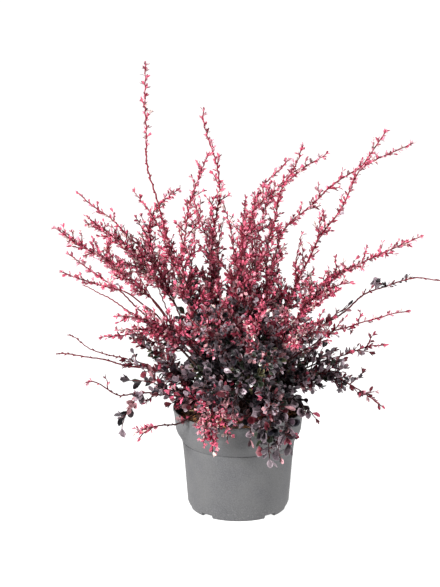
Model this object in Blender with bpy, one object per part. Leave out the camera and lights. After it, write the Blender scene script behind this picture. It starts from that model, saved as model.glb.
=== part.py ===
"""Japanese barberry in a round grey nursery pot, about 80 cm tall with its pot.

A woody foot stands on the substrate in the pot. Slender boughs rise from its flat top and arch
outwards, and each carries one mass of twigs and leaves. Low skirts of foliage grow from the foot's
side, and some hang over the rim. Units are metres, +Z is up, the front is -Y, and the origin is
the centre of the pot's underside.
"""
import math
import random
from collections import namedtuple

import bmesh
import bpy
import numpy as np
from mathutils import Vector
from mathutils.bvhtree import BVHTree

GAP = 0.0003  # clearance between neighbouring solids
MERGE_DISTANCE = 0.00005
UP = Vector((0, 0, 1))

# Pot: a five-litre container
POT_HEIGHT = 0.180
POT_TOP_RADIUS = 0.1125
POT_BASE_RADIUS = 0.0875
POT_BASE_HEIGHT = 0.012  # where the wall's taper starts
POT_FOOT_RADIUS = 0.083
POT_WALL = 0.0022
POT_FLOOR = 0.010
POT_LIP = 0.002  # how far below the rim's top the inner wall ends
POT_SIDES = 36
# The rolled rim, from its inner to its outer edge, as steps from the pot's top outer corner
RIM_ROLL = ((-0.0022, 0.0), (-0.0006, 0.0), (0.0, -0.0015), (-0.0005, -0.006))
COLLAR_FOOT_HEIGHT = 0.123
COLLAR_FOOT_RADIUS = 0.0978
# How far the collar stands out from its foot, and at what height, from the top down
COLLAR_SWELL = ((0.0108, 0.148), (0.0082, 0.137), (0.0027, 0.129), (0.0, COLLAR_FOOT_HEIGHT))
COLLAR_WIDE_HEIGHT = 0.153  # where the inner wall has reached the collar's width
COLLAR_WIDENING = 0.0118
NOTCH_AZIMUTHS = (-80, -40, 40, 80, 160, 200)  # degrees from the front
NOTCH_WIDTH = 0.022
NOTCH_HEIGHT = 0.006
NOTCH_INNER_RADIUS = 0.072
NOTCH_CUTTER_LENGTH = 0.030

# Substrate and the woody foot that stands on it
SUBSTRATE_TOP = 0.163
SUBSTRATE_EDGE_DROP = 0.004
SUBSTRATE_CROWN = ((0.0, 0.0), (0.045, 0.0), (0.085, -0.002))  # radius, and step from the top
FOOT_TOP = 0.186
FOOT_TOP_RADIUS = 0.0264
FOOT_FLARE_RADIUS = 0.032
FOOT_FLARE_HEIGHT = 0.172
FOOT_WAIST = (0.0284, 0.167)  # radius and height halfway down the flare
FOOT_EDGE = 0.001  # bevel round the flat top
FOOT_SIDES = 24

# Boughs stand in three rings on the foot's top: ring radius and bough radius there
RINGS = {"centre": (0.0062, 0.0030), "inner": (0.0137, 0.0032), "outer": (0.0223, 0.0035)}
SEAT_CLEAR = 0.0005  # half the room between two boughs where they stand
SEAT_ROUNDS = 60
BOUGH_SIDES = 5
BOUGH_STEPS = 4
BOUGH_TIP_RADIUS = 0.0017
SKIRT_HEIGHT = 0.1745  # where the skirts leave the foot's side
SKIRT_START = FOOT_TOP_RADIUS + 2 * GAP
SKIRT_RADIUS = 0.0020

# Stems and side twigs, all three-sided
STEM_STEPS = 5
FORK_STEPS = 3
STEM_TIP_RADIUS = 0.0007
TWIG_RADIUS = 0.0011
TWIG_ROOT_RADIUS = 0.00035
TWIG_TIP_RADIUS = 0.0006
TWIG_ANGLE = 46  # degrees between a side twig and its stem
TWIG_BOW = 0.06  # how far a side twig's middle lies off the straight line, of its length
TWIG_RISE = 0.25  # how far a side twig's tip bends up, of its length
SKIRT_TWIG_RISE = 0.55
TWIG_SHRINK = 0.65  # how much shorter the side twigs are at the stem's tip
TWIG_SIZES = (0.85, 1.15)  # the least and the most of its planned length
TWIG_LEAN = 8  # degrees either way by which its angle varies
FIRST_TWIG = 0.04
LAST_TWIG = 0.84  # the share of the stem past which it has no side twigs

# Leaves, larger than life because there are fewer of them
LEAF_LENGTHS = (0.033, 0.018)  # in the heart of the crown, and near its tips
LEAF_FALL = (0.15, 0.38)  # distances from the foot between which the leaves shrink
LEAF_WIDTH = 0.62  # of the length
LEAF_THICKNESS = 0.055  # of the length
LEAF_SHOULDER = 0.62  # where the leaf is widest, from its root
LEAF_ANGLE = 56  # degrees between a leaf and its twig
TIP_LEAF_ANGLE = 12
LEAF_LEAN = 10  # degrees either way by which its angle varies
LEAF_LIFT = 0.5  # how much its face turns up
LEAF_SIZES = (0.88, 1.12)  # the least and the most of its planned length
LEAF_SPACING = 0.040
SKIRT_LEAF_SPACING = 0.026
FORK_LEAFY_FROM = 0.15
TWIG_LEAVES = (0.55,)  # shares of a side twig where leaves sit, below the one at its tip
LAST_LEAF = 0.96
TIP_LEAF = 0.985

# How twigs and leaves find their places
GOLDEN_ANGLE = 137.5
CLEAR = 0.0004  # kept round every twig and leaf
TRIES = 7  # directions that a leaf or twig tries before it is skipped
TRY_TURN = 50
TRY_SHRINK = 0.08
SPACE_SAMPLES = 25  # points along each stem that its mass's space is measured from

# A shoot runs from the foot to its tip, at an azimuth from +X, a reach from the axis and a height.
# Its middle lies off the straight line by the bow, upwards, and by the sweep, sideways. The first
# share of it is a bare bough, and the rest is the stem of its mass. That has so many side twigs,
# the longest so long, and its leaves start at a share of the stem.
Shoot = namedtuple("Shoot", "ring azimuth reach height bow sweep share twigs long leafy_from hue")
SHOOTS = {
    "tall": Shoot("centre", -173, 0.157, 0.783, -0.038, 0.005, 0.40, 2, 0.055, 0.48, "rose"),
    "upright": Shoot("centre", 135, 0.085, 0.683, -0.012, -0.015, 0.36, 3, 0.060, 0.15, "rose"),
    "crooked": Shoot("centre", -132, 0.080, 0.640, -0.037, 0.047, 0.36, 4, 0.065, 0.05, "rose"),
    "forked": Shoot("centre", -21, 0.111, 0.648, 0.000, 0.000, 0.32, 3, 0.070, 0.05, "rose"),
    "twin": Shoot("centre", 47, 0.118, 0.590, 0.027, -0.026, 0.34, 3, 0.065, 0.05, "rose"),
    "high_right": Shoot("inner", 18, 0.308, 0.620, 0.080, -0.022, 0.32, 4, 0.070, 0.15, "rose"),
    "right": Shoot("inner", -12, 0.246, 0.678, 0.015, 0.008, 0.30, 5, 0.075, 0.05, "rose"),
    "high_left": Shoot("inner", 157, 0.294, 0.523, 0.017, 0.000, 0.32, 3, 0.070, 0.05, "rose"),
    "left": Shoot("inner", -169, 0.309, 0.515, 0.015, 0.000, 0.32, 4, 0.075, 0.10, "rose"),
    "back_right_top": Shoot("inner", 75, 0.210, 0.515, 0.030, 0.000, 0.28, 4, 0.085, 0.00, "wine"),
    "back_left_top": Shoot("inner", 110, 0.230, 0.490, 0.030, 0.000, 0.28, 4, 0.085, 0.00, "wine"),
    "middle": Shoot("inner", -75, 0.050, 0.535, 0.005, 0.010, 0.26, 6, 0.085, 0.00, "wine"),
    "low_right": Shoot("outer", -22, 0.317, 0.518, 0.043, 0.004, 0.32, 4, 0.075, 0.05, "rose"),
    "far_right": Shoot("outer", 18, 0.374, 0.370, 0.046, -0.007, 0.36, 2, 0.055, 0.25, "wine"),
    "slim_right": Shoot("outer", -30, 0.317, 0.403, 0.033, 0.004, 0.36, 2, 0.055, 0.20, "rose"),
    "front_right": Shoot("outer", -55, 0.270, 0.385, 0.045, 0.000, 0.28, 5, 0.080, 0.00, "wine"),
    "front": Shoot("outer", -80, 0.262, 0.345, 0.045, 0.000, 0.28, 5, 0.080, 0.00, "wine"),
    "front_left": Shoot("outer", -106, 0.262, 0.400, 0.045, 0.000, 0.28, 5, 0.080, 0.00, "wine"),
    "side_left": Shoot("outer", -139, 0.262, 0.400, 0.040, 0.000, 0.32, 4, 0.075, 0.05, "rose"),
    "low_left": Shoot("outer", -156, 0.317, 0.461, 0.026, -0.002, 0.34, 3, 0.065, 0.10, "rose"),
    "slim_left": Shoot("outer", 156, 0.317, 0.410, 0.017, -0.003, 0.36, 2, 0.060, 0.20, "wine"),
    "back_left": Shoot("outer", 128, 0.295, 0.410, 0.040, 0.000, 0.30, 4, 0.080, 0.05, "wine"),
    "back_right": Shoot("outer", 50, 0.295, 0.410, 0.040, 0.000, 0.30, 4, 0.080, 0.05, "wine"),
}
# A fork leaves a mass's stem at a share of the stem's length and runs to a tip of its own
Fork = namedtuple("Fork", "start azimuth reach height bow twigs long")
FORKS = {
    "forked": Fork(0.35, -8, 0.147, 0.635, 0.010, 2, 0.035),
    "twin": Fork(0.30, 38, 0.082, 0.557, 0.004, 2, 0.035),
    "high_left": Fork(0.22, 173, 0.261, 0.512, 0.004, 3, 0.045),
    "skirt_left": Fork(0.45, 165, 0.307, 0.282, 0.012, 1, 0.030),
}
# A skirt is a mass with no bough: its stem leaves the foot's side, arches over the rim and droops
Skirt = namedtuple("Skirt", "azimuth reach height bow sweep twigs long leafy_from")
SKIRTS = {
    "skirt_right": Skirt(5, 0.245, 0.283, 0.032, 0.001, 6, 0.075, 0.20),
    "skirt_front_right": Skirt(-22, 0.255, 0.218, 0.059, -0.003, 7, 0.080, 0.15),
    "skirt_over_right": Skirt(-65, 0.161, 0.146, 0.075, 0.003, 7, 0.080, 0.12),
    "skirt_over_left": Skirt(-107, 0.152, 0.156, 0.070, 0.007, 7, 0.080, 0.12),
    "skirt_front_left": Skirt(-147, 0.196, 0.166, 0.040, -0.010, 6, 0.075, 0.20),
    "skirt_low_left": Skirt(-168, 0.260, 0.243, 0.038, 0.001, 6, 0.070, 0.20),
    "skirt_left": Skirt(173, 0.311, 0.262, 0.033, 0.001, 4, 0.065, 0.15),
    "skirt_back_left": Skirt(115, 0.240, 0.220, 0.060, 0.000, 7, 0.080, 0.15),
    "skirt_back_right": Skirt(60, 0.245, 0.230, 0.060, 0.000, 7, 0.080, 0.15),
}

# Base colour (linear) and roughness
FINISHES = {
    "pot": ((0.235, 0.235, 0.243), 0.62),
    "substrate": ((0.060, 0.035, 0.022), 0.95),
    "bark": ((0.065, 0.028, 0.026), 0.80),
    "rose": ((0.400, 0.060, 0.095), 0.55),
    "wine": ((0.190, 0.030, 0.052), 0.55),
    "purple": ((0.085, 0.035, 0.055), 0.50),
}

Mesh = namedtuple("Mesh", "verts faces")


def remove_startup_objects():
    for item in list(bpy.data.objects):
        bpy.data.objects.remove(item, do_unlink=True)


def finish(name):
    """The Principled material of this name."""
    material = bpy.data.materials.get(name)
    if material is None:
        material = bpy.data.materials.new(name)
        material.use_nodes = True
        shader = material.node_tree.nodes["Principled BSDF"]
        colour, roughness = FINISHES[name]
        shader.inputs["Base Color"].default_value = (*colour, 1.0)
        shader.inputs["Roughness"].default_value = roughness
        shader.inputs["Metallic"].default_value = 0.0
        material.diffuse_color = (*colour, 1.0)
    return material


def add_object(name, mesh, material=None, collection=None):
    data = bpy.data.meshes.new(name)
    data.from_pydata([tuple(v) for v in mesh.verts], [], mesh.faces)
    if material:
        data.materials.append(finish(material))
    item = bpy.data.objects.new(name, data)
    (collection or bpy.context.scene.collection).objects.link(item)
    return item


def apply_modifiers(item):
    bpy.context.view_layer.objects.active = item
    for modifier in list(item.modifiers):
        bpy.ops.object.modifier_apply(modifier=modifier.name)


def polar(azimuth, radius, height):
    angle = math.radians(azimuth)
    return Vector((radius * math.cos(angle), radius * math.sin(angle), height))


def turned(name, profile, sides, material):
    """A solid turned about Z from (radius, height) points, up the inside and down the outside."""
    verts = [(radius, 0.0, height) for radius, height in profile]
    data = bpy.data.meshes.new(name)
    data.from_pydata(verts, [(i, i + 1) for i in range(len(verts) - 1)], [])
    data.materials.append(finish(material))
    item = bpy.data.objects.new(name, data)
    bpy.context.scene.collection.objects.link(item)
    screw = item.modifiers.new("turn", "SCREW")
    screw.steps = sides
    screw.render_steps = sides
    screw.use_merge_vertices = True
    screw.merge_threshold = MERGE_DISTANCE
    apply_modifiers(item)
    item.data.shade_smooth()
    item.data.set_sharp_from_angle(angle=math.radians(30))
    return item


def inner_radius(height):
    """The pot's inner wall, which runs inside the taper and then widens into the collar."""
    rise = min(1.0, height / COLLAR_FOOT_HEIGHT)
    widening = (height - COLLAR_FOOT_HEIGHT) / (COLLAR_WIDE_HEIGHT - COLLAR_FOOT_HEIGHT)
    collar = COLLAR_WIDENING * min(1.0, max(0.0, widening))
    return POT_BASE_RADIUS + (COLLAR_FOOT_RADIUS - POT_BASE_RADIUS) * rise + collar - POT_WALL


def make_pot():
    """Tapered body, stepped collar, rolled rim and a foot with three pairs of notches."""
    levels = (POT_FLOOR, COLLAR_FOOT_HEIGHT, COLLAR_WIDE_HEIGHT, POT_HEIGHT - POT_LIP)
    inside = [(0.0, POT_FLOOR)] + [(inner_radius(z), z) for z in levels]
    rim = [(POT_TOP_RADIUS + out, POT_HEIGHT + up) for out, up in RIM_ROLL]
    collar = [(COLLAR_FOOT_RADIUS + out, height) for out, height in COLLAR_SWELL]
    foot = [(POT_BASE_RADIUS, POT_BASE_HEIGHT), (POT_FOOT_RADIUS, 0.0), (0.0, 0.0)]
    pot = turned("pot", inside + rim + collar + foot, POT_SIDES, "pot")
    cut = pot.modifiers.new("foot notches", "BOOLEAN")
    cut.operation = "DIFFERENCE"
    cut.operand_type = "COLLECTION"
    cut.collection = make_notch_cutters()
    return pot


def make_notch_cutters():
    """Blocks that reach out through the foot of the pot wherever it has a notch."""
    cutters = bpy.data.collections.new("notch_cutters")
    bpy.context.scene.collection.children.link(cutters)
    for index, from_front in enumerate(NOTCH_AZIMUTHS):
        azimuth = from_front - 90
        bpy.ops.mesh.primitive_cube_add(size=1.0)
        cutter = bpy.context.object
        cutter.name = f"notch_cutter_{index + 1}"
        cutter.scale = (NOTCH_CUTTER_LENGTH, NOTCH_WIDTH, 2 * NOTCH_HEIGHT)
        cutter.location = polar(azimuth, NOTCH_INNER_RADIUS + NOTCH_CUTTER_LENGTH / 2, 0.0)
        cutter.rotation_euler.z = math.radians(azimuth)
        cutter.hide_render = True
        cutter.display_type = "WIRE"
        for holder in list(cutter.users_collection):
            holder.objects.unlink(cutter)
        cutters.objects.link(cutter)
    return cutters


def make_substrate():
    """The potting mix, which fills the pot up to below the rim and falls a little to its edge."""
    edge = SUBSTRATE_TOP - SUBSTRATE_EDGE_DROP
    top = [(radius, SUBSTRATE_TOP + step) for radius, step in SUBSTRATE_CROWN]
    levels = (edge, COLLAR_WIDE_HEIGHT, COLLAR_FOOT_HEIGHT, POT_FLOOR + GAP)
    side = [(inner_radius(z) - GAP, z) for z in levels]
    return turned("substrate", top + side + [(0.0, POT_FLOOR + GAP)], POT_SIDES, "substrate")


def make_foot():
    """The woody crown of the roots: flared and cut flat on the substrate, and flat on top."""
    base = SUBSTRATE_TOP + GAP
    profile = [(0.0, FOOT_TOP), (FOOT_TOP_RADIUS - FOOT_EDGE, FOOT_TOP)]
    profile += [(FOOT_TOP_RADIUS, FOOT_TOP - FOOT_EDGE), (FOOT_TOP_RADIUS, FOOT_FLARE_HEIGHT)]
    profile += [FOOT_WAIST, (FOOT_FLARE_RADIUS, base), (0.0, base)]
    return turned("foot", profile, FOOT_SIDES, "bark")


def curve_point(curve, share):
    """A point at a share, from 0 to 1, of the curve given as its start, knee and end."""
    start, knee, end = curve
    rest = 1 - share
    return start * rest * rest + knee * 2 * share * rest + end * share * share


def arched(start, end, bow, sweep):
    """The curve between two points whose middle lies off the straight line by bow and sweep."""
    along = (end - start).normalized()
    up = (UP - along * along.z).normalized()
    side = along.cross(up)
    knee = (start + end) / 2 + up * 2 * bow + side * 2 * sweep
    return start, knee, end


def ring_seats():
    """Where each bough stands: at its azimuth, pushed along its ring until all have room."""
    seats = {}
    for ring, (radius, thick) in RINGS.items():
        names = sorted((n for n in SHOOTS if SHOOTS[n].ring == ring), key=lambda n: SHOOTS[n].azimuth)
        turns = [SHOOTS[name].azimuth for name in names]
        room = 2 * math.degrees(math.asin((thick + SEAT_CLEAR) / radius))
        for _ in range(SEAT_ROUNDS):
            for i in range(len(names)):
                after = (i + 1) % len(names)
                push = max(0.0, room - (turns[after] - turns[i]) % 360) / 2
                turns[i] -= push
                turns[after] += push
        for name, turn in zip(names, turns):
            seats[name] = polar(turn, radius, FOOT_TOP + GAP)
    return seats


def across(direction):
    """Two unit vectors square to a direction and to each other."""
    direction = direction.normalized()
    guide = UP if abs(direction.z) < 0.9 else Vector((0, 1, 0))
    side = direction.cross(guide).normalized()
    return side, side.cross(direction)


def tube(points, radii, sides, first_face=None):
    """A closed tube through the points. Its first face is square to first_face, if that is given."""
    verts = []
    side = None
    for i, point in enumerate(points):
        ahead = (points[min(i + 1, len(points) - 1)] - points[max(i - 1, 0)]).normalized()
        if i == 0 and first_face:
            ahead = first_face
        if side is None:
            side = across(ahead)[0]
        side = (side - ahead * side.dot(ahead)).normalized()
        other = ahead.cross(side)
        for corner in range(sides):
            angle = 2 * math.pi * corner / sides
            verts.append(point + (side * math.cos(angle) + other * math.sin(angle)) * radii[i])
    faces = [tuple(reversed(range(sides)))]
    for low in range(0, len(verts) - sides, sides):
        for corner in range(sides):
            after = (corner + 1) % sides
            high = low + sides
            faces.append((low + corner, low + after, high + after, high + corner))
    faces.append(tuple(range(len(verts) - sides, len(verts))))
    return Mesh(verts, faces)


def leaf_blade(root, direction, facing, length, margin=0.0):
    """An obovate leaf of eight faces, or with a margin its slightly larger envelope."""
    along = direction.normalized()
    side = along.cross(facing).normalized()
    face = side.cross(along)
    width = length * LEAF_WIDTH / 2 + margin
    thick = length * LEAF_THICKNESS / 2 + margin
    shoulder = root + along * length * LEAF_SHOULDER
    middle = root + along * length * 0.5
    verts = [root, root + along * (length + margin)]
    verts += [shoulder + side * width, shoulder - side * width]
    verts += [middle + face * thick, middle - face * thick]
    faces = [(2, 4, 0), (1, 4, 2), (3, 4, 1), (0, 4, 3), (0, 5, 2), (2, 5, 1), (1, 5, 3), (3, 5, 0)]
    return Mesh(verts, faces)


def search_tree(meshes):
    """One tree over several meshes, to find what crosses them."""
    verts, faces = [], []
    for mesh in meshes:
        offset = len(verts)
        verts.extend(mesh.verts)
        faces.extend(tuple(i + offset for i in face) for face in mesh.faces)
    return BVHTree.FromPolygons(verts, faces)


def mesh_of(item):
    return Mesh([v.co.copy() for v in item.data.vertices], [tuple(p.vertices) for p in item.data.polygons])


class Piece:
    """A twig or a leaf: its mesh, the tree that finds what crosses it and, for a twig, its points."""

    def __init__(self, mesh, points=None):
        self.mesh = mesh
        self.points = points
        self.tree = search_tree([mesh])

    def along(self, share):
        """The point at a share of a twig's steps, and the direction there."""
        place = share * (len(self.points) - 1)
        step = min(int(place), len(self.points) - 2)
        low, high = self.points[step], self.points[step + 1]
        return low.lerp(high, place - step), (high - low).normalized()

    def length(self):
        return sum((b - a).length for a, b in zip(self.points, self.points[1:]))


def tapering(points, radius, tip_radius, first_face=None):
    last = len(points) - 1
    radii = [radius + (tip_radius - radius) * i / last for i in range(last + 1)]
    return Piece(tube(points, radii, 3, first_face), points)


class Mass:
    """A mass of foliage: its stem, a fork, the side twigs, and the leaves on them all."""

    def __init__(self, name, curve, plan, hue):
        self.name = name
        self.plan = plan
        self.hue = hue
        self.skirt = isinstance(plan, Skirt)
        self.draw = random.Random(name)
        self.leaves = []
        self.stem = self.make_stem(curve)
        self.branches = [self.stem]
        if name in FORKS:
            self.branches.append(self.make_fork(FORKS[name]))

    def make_stem(self, curve):
        first = 0.0 if self.skirt else self.plan.share
        points = [curve_point(curve, first + (1 - first) * i / STEM_STEPS) for i in range(STEM_STEPS + 1)]
        if self.skirt:
            return tapering(points, SKIRT_RADIUS, STEM_TIP_RADIUS, polar(self.plan.azimuth, 1.0, 0.0))
        points[0] = points[0] + (points[1] - points[0]).normalized() * GAP
        return tapering(points, BOUGH_TIP_RADIUS, STEM_TIP_RADIUS)

    def make_fork(self, fork):
        start, _ = self.stem.along(fork.start)
        curve = arched(start, polar(fork.azimuth, fork.reach, fork.height), fork.bow, 0.0)
        points = [curve_point(curve, i / FORK_STEPS) for i in range(FORK_STEPS + 1)]
        return tapering(points, TWIG_RADIUS, TWIG_TIP_RADIUS)

    def grow_twigs(self, others, space):
        """Side twigs that shorten towards the tip and turn round their stem by the golden angle."""
        jobs = [(self.stem, self.plan.twigs, self.plan.long)]
        if self.name in FORKS:
            jobs.append((self.branches[1], FORKS[self.name].twigs, FORKS[self.name].long))
        for carrier, count, long in jobs:
            turn = self.draw.uniform(0, 360)
            for i in range(count):
                share = FIRST_TWIG + (LAST_TWIG - FIRST_TWIG) * i / count
                length = long * (1 - TWIG_SHRINK * share) * self.draw.uniform(*TWIG_SIZES)
                turn += GOLDEN_ANGLE
                self.try_twig(carrier, share, turn, length, others, space)

    def try_twig(self, carrier, share, turn, length, others, space):
        """Adds a side twig in the first direction where it keeps to its space and touches nothing."""
        start, ahead = carrier.along(share)
        side, other = across(ahead)
        for attempt in range(TRIES):
            angle = math.radians(turn + TRY_TURN * attempt)
            lean = math.radians(TWIG_ANGLE + self.draw.uniform(-TWIG_LEAN, TWIG_LEAN))
            out = side * math.cos(angle) + other * math.sin(angle)
            direction = ahead * math.cos(lean) + out * math.sin(lean)
            size = length * (1 - TRY_SHRINK * attempt)
            end = start + direction * size + UP * size * (SKIRT_TWIG_RISE if self.skirt else TWIG_RISE)
            points = [start, start.lerp(end, 0.5) + direction * TWIG_BOW * size, end]
            envelope = search_tree([tube(points, [TWIG_RADIUS + CLEAR] * 3, 3)])
            if not space.holds(end, self.name) or envelope.overlap(others):
                continue
            if any(envelope.overlap(branch.tree) for branch in self.branches if branch is not carrier):
                continue
            radii = [TWIG_ROOT_RADIUS, TWIG_RADIUS, TWIG_TIP_RADIUS]
            self.branches.append(Piece(tube(points, radii, 3), points))
            return

    def leaf_shares(self, branch):
        """Where a branch's leaves sit, below the one at its tip."""
        if branch is not self.stem and len(branch.points) != FORK_STEPS + 1:
            return TWIG_LEAVES
        first = self.plan.leafy_from if branch is self.stem else FORK_LEAFY_FROM
        spacing = SKIRT_LEAF_SPACING if self.skirt else LEAF_SPACING
        count = round(branch.length() * (1 - first) / spacing)
        return [first + (LAST_LEAF - first) * i / count for i in range(count)]

    def grow_leaves(self, others, space):
        """Leaves along each branch, turning by the golden angle, and one at its tip."""
        for branch in self.branches:
            turn = self.draw.uniform(0, 360)
            for share in self.leaf_shares(branch):
                turn += GOLDEN_ANGLE
                self.try_leaf(branch, share, turn, LEAF_ANGLE, others, space)
            self.try_leaf(branch, TIP_LEAF, turn, TIP_LEAF_ANGLE, others, space)

    def leaf_length(self, place):
        near, far = LEAF_FALL
        shrink = ((place - UP * FOOT_TOP).length - near) / (far - near)
        large, small = LEAF_LENGTHS
        return large + (small - large) * min(1.0, max(0.0, shrink))

    def try_leaf(self, branch, share, turn, angle, others, space):
        """Adds a leaf in the first direction where it keeps to its space and touches nothing."""
        root, ahead = branch.along(share)
        side, other = across(ahead)
        length = self.leaf_length(root) * self.draw.uniform(*LEAF_SIZES)
        neighbours = [piece for piece in self.branches + self.leaves if piece is not branch]
        for attempt in range(TRIES):
            around = math.radians(turn + TRY_TURN * attempt)
            lean = math.radians(angle + self.draw.uniform(-LEAF_LEAN, LEAF_LEAN))
            out = side * math.cos(around) + other * math.sin(around)
            direction = ahead * math.cos(lean) + out * math.sin(lean)
            facing = ahead * math.sin(lean) - out * math.cos(lean) + UP * LEAF_LIFT
            envelope = search_tree([leaf_blade(root, direction, facing, length, CLEAR)])
            if not space.holds(root + direction * length, self.name) or envelope.overlap(others):
                continue
            if any(envelope.overlap(piece.tree) for piece in neighbours):
                continue
            self.leaves.append(Piece(leaf_blade(root, direction, facing, length)))
            return

    def meshes(self):
        return [piece.mesh for piece in self.branches + self.leaves]


class Space:
    """The room that each mass keeps to: nearer to its own stem and fork than to any other's."""

    def __init__(self, masses):
        samples, self.owners = [], []
        for mass in masses:
            for branch in mass.branches:
                for i in range(SPACE_SAMPLES):
                    samples.append(branch.along(i / (SPACE_SAMPLES - 1))[0])
                    self.owners.append(mass.name)
        self.samples = np.array(samples)

    def holds(self, point, name):
        nearest = np.linalg.norm(self.samples - np.array(point), axis=1).argmin()
        return self.owners[nearest] == name


def keep_largest_shell(item):
    """Drops loose scraps and the sealed hollows that fusing can leave inside."""
    mesh = bmesh.new()
    mesh.from_mesh(item.data)
    left = set(mesh.verts)
    shells = []
    while left:
        shell, front = set(), [left.pop()]
        while front:
            vert = front.pop()
            shell.add(vert)
            near = {edge.other_vert(vert) for edge in vert.link_edges} & left
            left -= near
            front.extend(near)
        shells.append(shell)
    shells.sort(key=len)
    for shell in shells[:-1]:
        bmesh.ops.delete(mesh, geom=list(shell), context="VERTS")
    mesh.to_mesh(item.data)
    mesh.free()


def fuse(mass):
    """The mass as one solid: its fork, twigs and leaves joined to its stem by one union."""
    stem, *others = mass.meshes()
    item = add_object(mass.name, stem, mass.hue)
    pieces = bpy.data.collections.new(f"{mass.name}_pieces")
    bpy.context.scene.collection.children.link(pieces)
    for index, mesh in enumerate(others):
        add_object(f"{mass.name}_piece_{index}", mesh, None, pieces)
    union = item.modifiers.new("fuse", "BOOLEAN")
    union.operation = "UNION"
    union.operand_type = "COLLECTION"
    union.collection = pieces
    apply_modifiers(item)
    for piece in list(pieces.objects):
        bpy.data.objects.remove(piece, do_unlink=True)
    bpy.data.collections.remove(pieces)
    keep_largest_shell(item)


def make_bough(name, shoot, curve):
    """A tapering limb from its flat seat on the foot up to where its mass begins."""
    points = [curve_point(curve, shoot.share * i / BOUGH_STEPS) for i in range(BOUGH_STEPS + 1)]
    base = RINGS[shoot.ring][1]
    radii = [base + (BOUGH_TIP_RADIUS - base) * i / BOUGH_STEPS for i in range(BOUGH_STEPS + 1)]
    mesh = tube(points, radii, BOUGH_SIDES, UP)
    add_object(f"bough_{name}", mesh, "bark")
    return mesh


def make_plant(standing):
    """All boughs and stems first, then twigs, then leaves, each clear of what was made before it."""
    seats = ring_seats()
    masses = []
    fixed = list(standing)
    for name, shoot in SHOOTS.items():
        tip = polar(shoot.azimuth, shoot.reach, shoot.height)
        curve = arched(seats[name], tip, shoot.bow, shoot.sweep)
        fixed.append(make_bough(name, shoot, curve))
        masses.append(Mass(name, curve, shoot, shoot.hue))
    for name, skirt in SKIRTS.items():
        start = polar(skirt.azimuth, SKIRT_START, SKIRT_HEIGHT)
        tip = polar(skirt.azimuth, skirt.reach, skirt.height)
        masses.append(Mass(name, arched(start, tip, skirt.bow, skirt.sweep), skirt, "purple"))
    space = Space(masses)
    for grow in (Mass.grow_twigs, Mass.grow_leaves):
        for mass in masses:
            near = [mesh for other in masses if other is not mass for mesh in other.meshes()]
            grow(mass, search_tree(fixed + near), space)
    for mass in masses:
        fuse(mass)


def main():
    remove_startup_objects()
    pot = make_pot()
    substrate = make_substrate()
    foot = make_foot()
    make_plant([mesh_of(pot), mesh_of(substrate), mesh_of(foot)])


main()
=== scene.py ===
"""Looks of a japanese barberry in a round grey nursery pot.

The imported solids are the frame. Over them this makes the moulded pot, the potting mix with its bark
chips, the woody foot and boughs with their bark, and the crown: stems, side twigs, spines and tufts
of small leaves, grown on the solids' own shoots. Units are metres, +Z is up, the front is -Y.
"""
import math
import random
from collections import namedtuple
from functools import lru_cache

import bpy
import numpy as np
from bpy.props import FloatProperty, FloatVectorProperty, IntProperty, PointerProperty
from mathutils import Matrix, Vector


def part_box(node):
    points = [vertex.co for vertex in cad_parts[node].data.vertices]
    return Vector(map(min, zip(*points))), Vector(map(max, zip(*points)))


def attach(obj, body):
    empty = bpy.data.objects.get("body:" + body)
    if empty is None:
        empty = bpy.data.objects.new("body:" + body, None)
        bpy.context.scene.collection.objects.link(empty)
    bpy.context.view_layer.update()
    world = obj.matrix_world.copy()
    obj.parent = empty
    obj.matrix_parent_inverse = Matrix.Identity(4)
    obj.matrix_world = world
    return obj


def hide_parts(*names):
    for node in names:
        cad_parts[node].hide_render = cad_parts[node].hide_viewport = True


bl_info = {
    "name": "Barberry in a nursery pot",
    "version": (1, 0, 0),
    "blender": (4, 5, 0),
    "location": "View3D > Sidebar > Barberry",
    "description": "Makes the looks of a potted barberry over its solids",
    "category": "Object",
}

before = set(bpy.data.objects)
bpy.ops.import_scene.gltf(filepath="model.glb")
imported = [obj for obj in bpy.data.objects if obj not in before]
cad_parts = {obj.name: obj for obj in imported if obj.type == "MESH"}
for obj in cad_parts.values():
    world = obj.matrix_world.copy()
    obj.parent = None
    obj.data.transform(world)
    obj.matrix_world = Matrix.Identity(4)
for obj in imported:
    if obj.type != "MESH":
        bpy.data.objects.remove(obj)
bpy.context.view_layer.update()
POT_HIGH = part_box("pot")[1]
MIX_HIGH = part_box("substrate")[1]
FOOT_LOW, FOOT_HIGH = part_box("foot")

UP = Vector((0, 0, 1))
GAP = 0.0003  # clearance between neighbouring solids
GOLDEN_ANGLE = 137.5
FULL_TURN = 2 * math.pi

# The pot's wall, from the base up: radius as a share of the rim's, and height
POT_WALL = (
    (0.738, 0.0), (0.748, 0.003), (0.776, 0.0105),
    (0.8, 0.045), (0.824, 0.08), (0.848, 0.108), (0.864, 0.1212),
    (0.853, 0.1216), (0.8535, 0.1232), (0.8745, 0.1236), (0.888, 0.1265),
    (0.909, 0.131), (0.942, 0.137), (0.96, 0.143), (0.966, 0.15),
    (0.98, 0.164), (0.99, 0.1735), (1.0, 0.1755), (1.0, 0.1785),
)
POT_WALL_TOP = 0.18  # height of the pot that these heights belong to
POT_SEGMENTS = 128
POT_ROUNDING = 0.0005
RIM_ROUNDING = (0.0006, 0.0004)  # outside and inside of its flat top
NOTCH_AZIMUTHS = (-80, -40, 40, 80, 160, 200)  # degrees from the front
NOTCH_WIDTH = 0.022
NOTCH_HEIGHT = 0.006
NOTCH_REACH = 0.011  # how far a notch reaches in from the foot's edge
NOTCH_CUTTER = 0.030  # length of the block that cuts it

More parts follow.
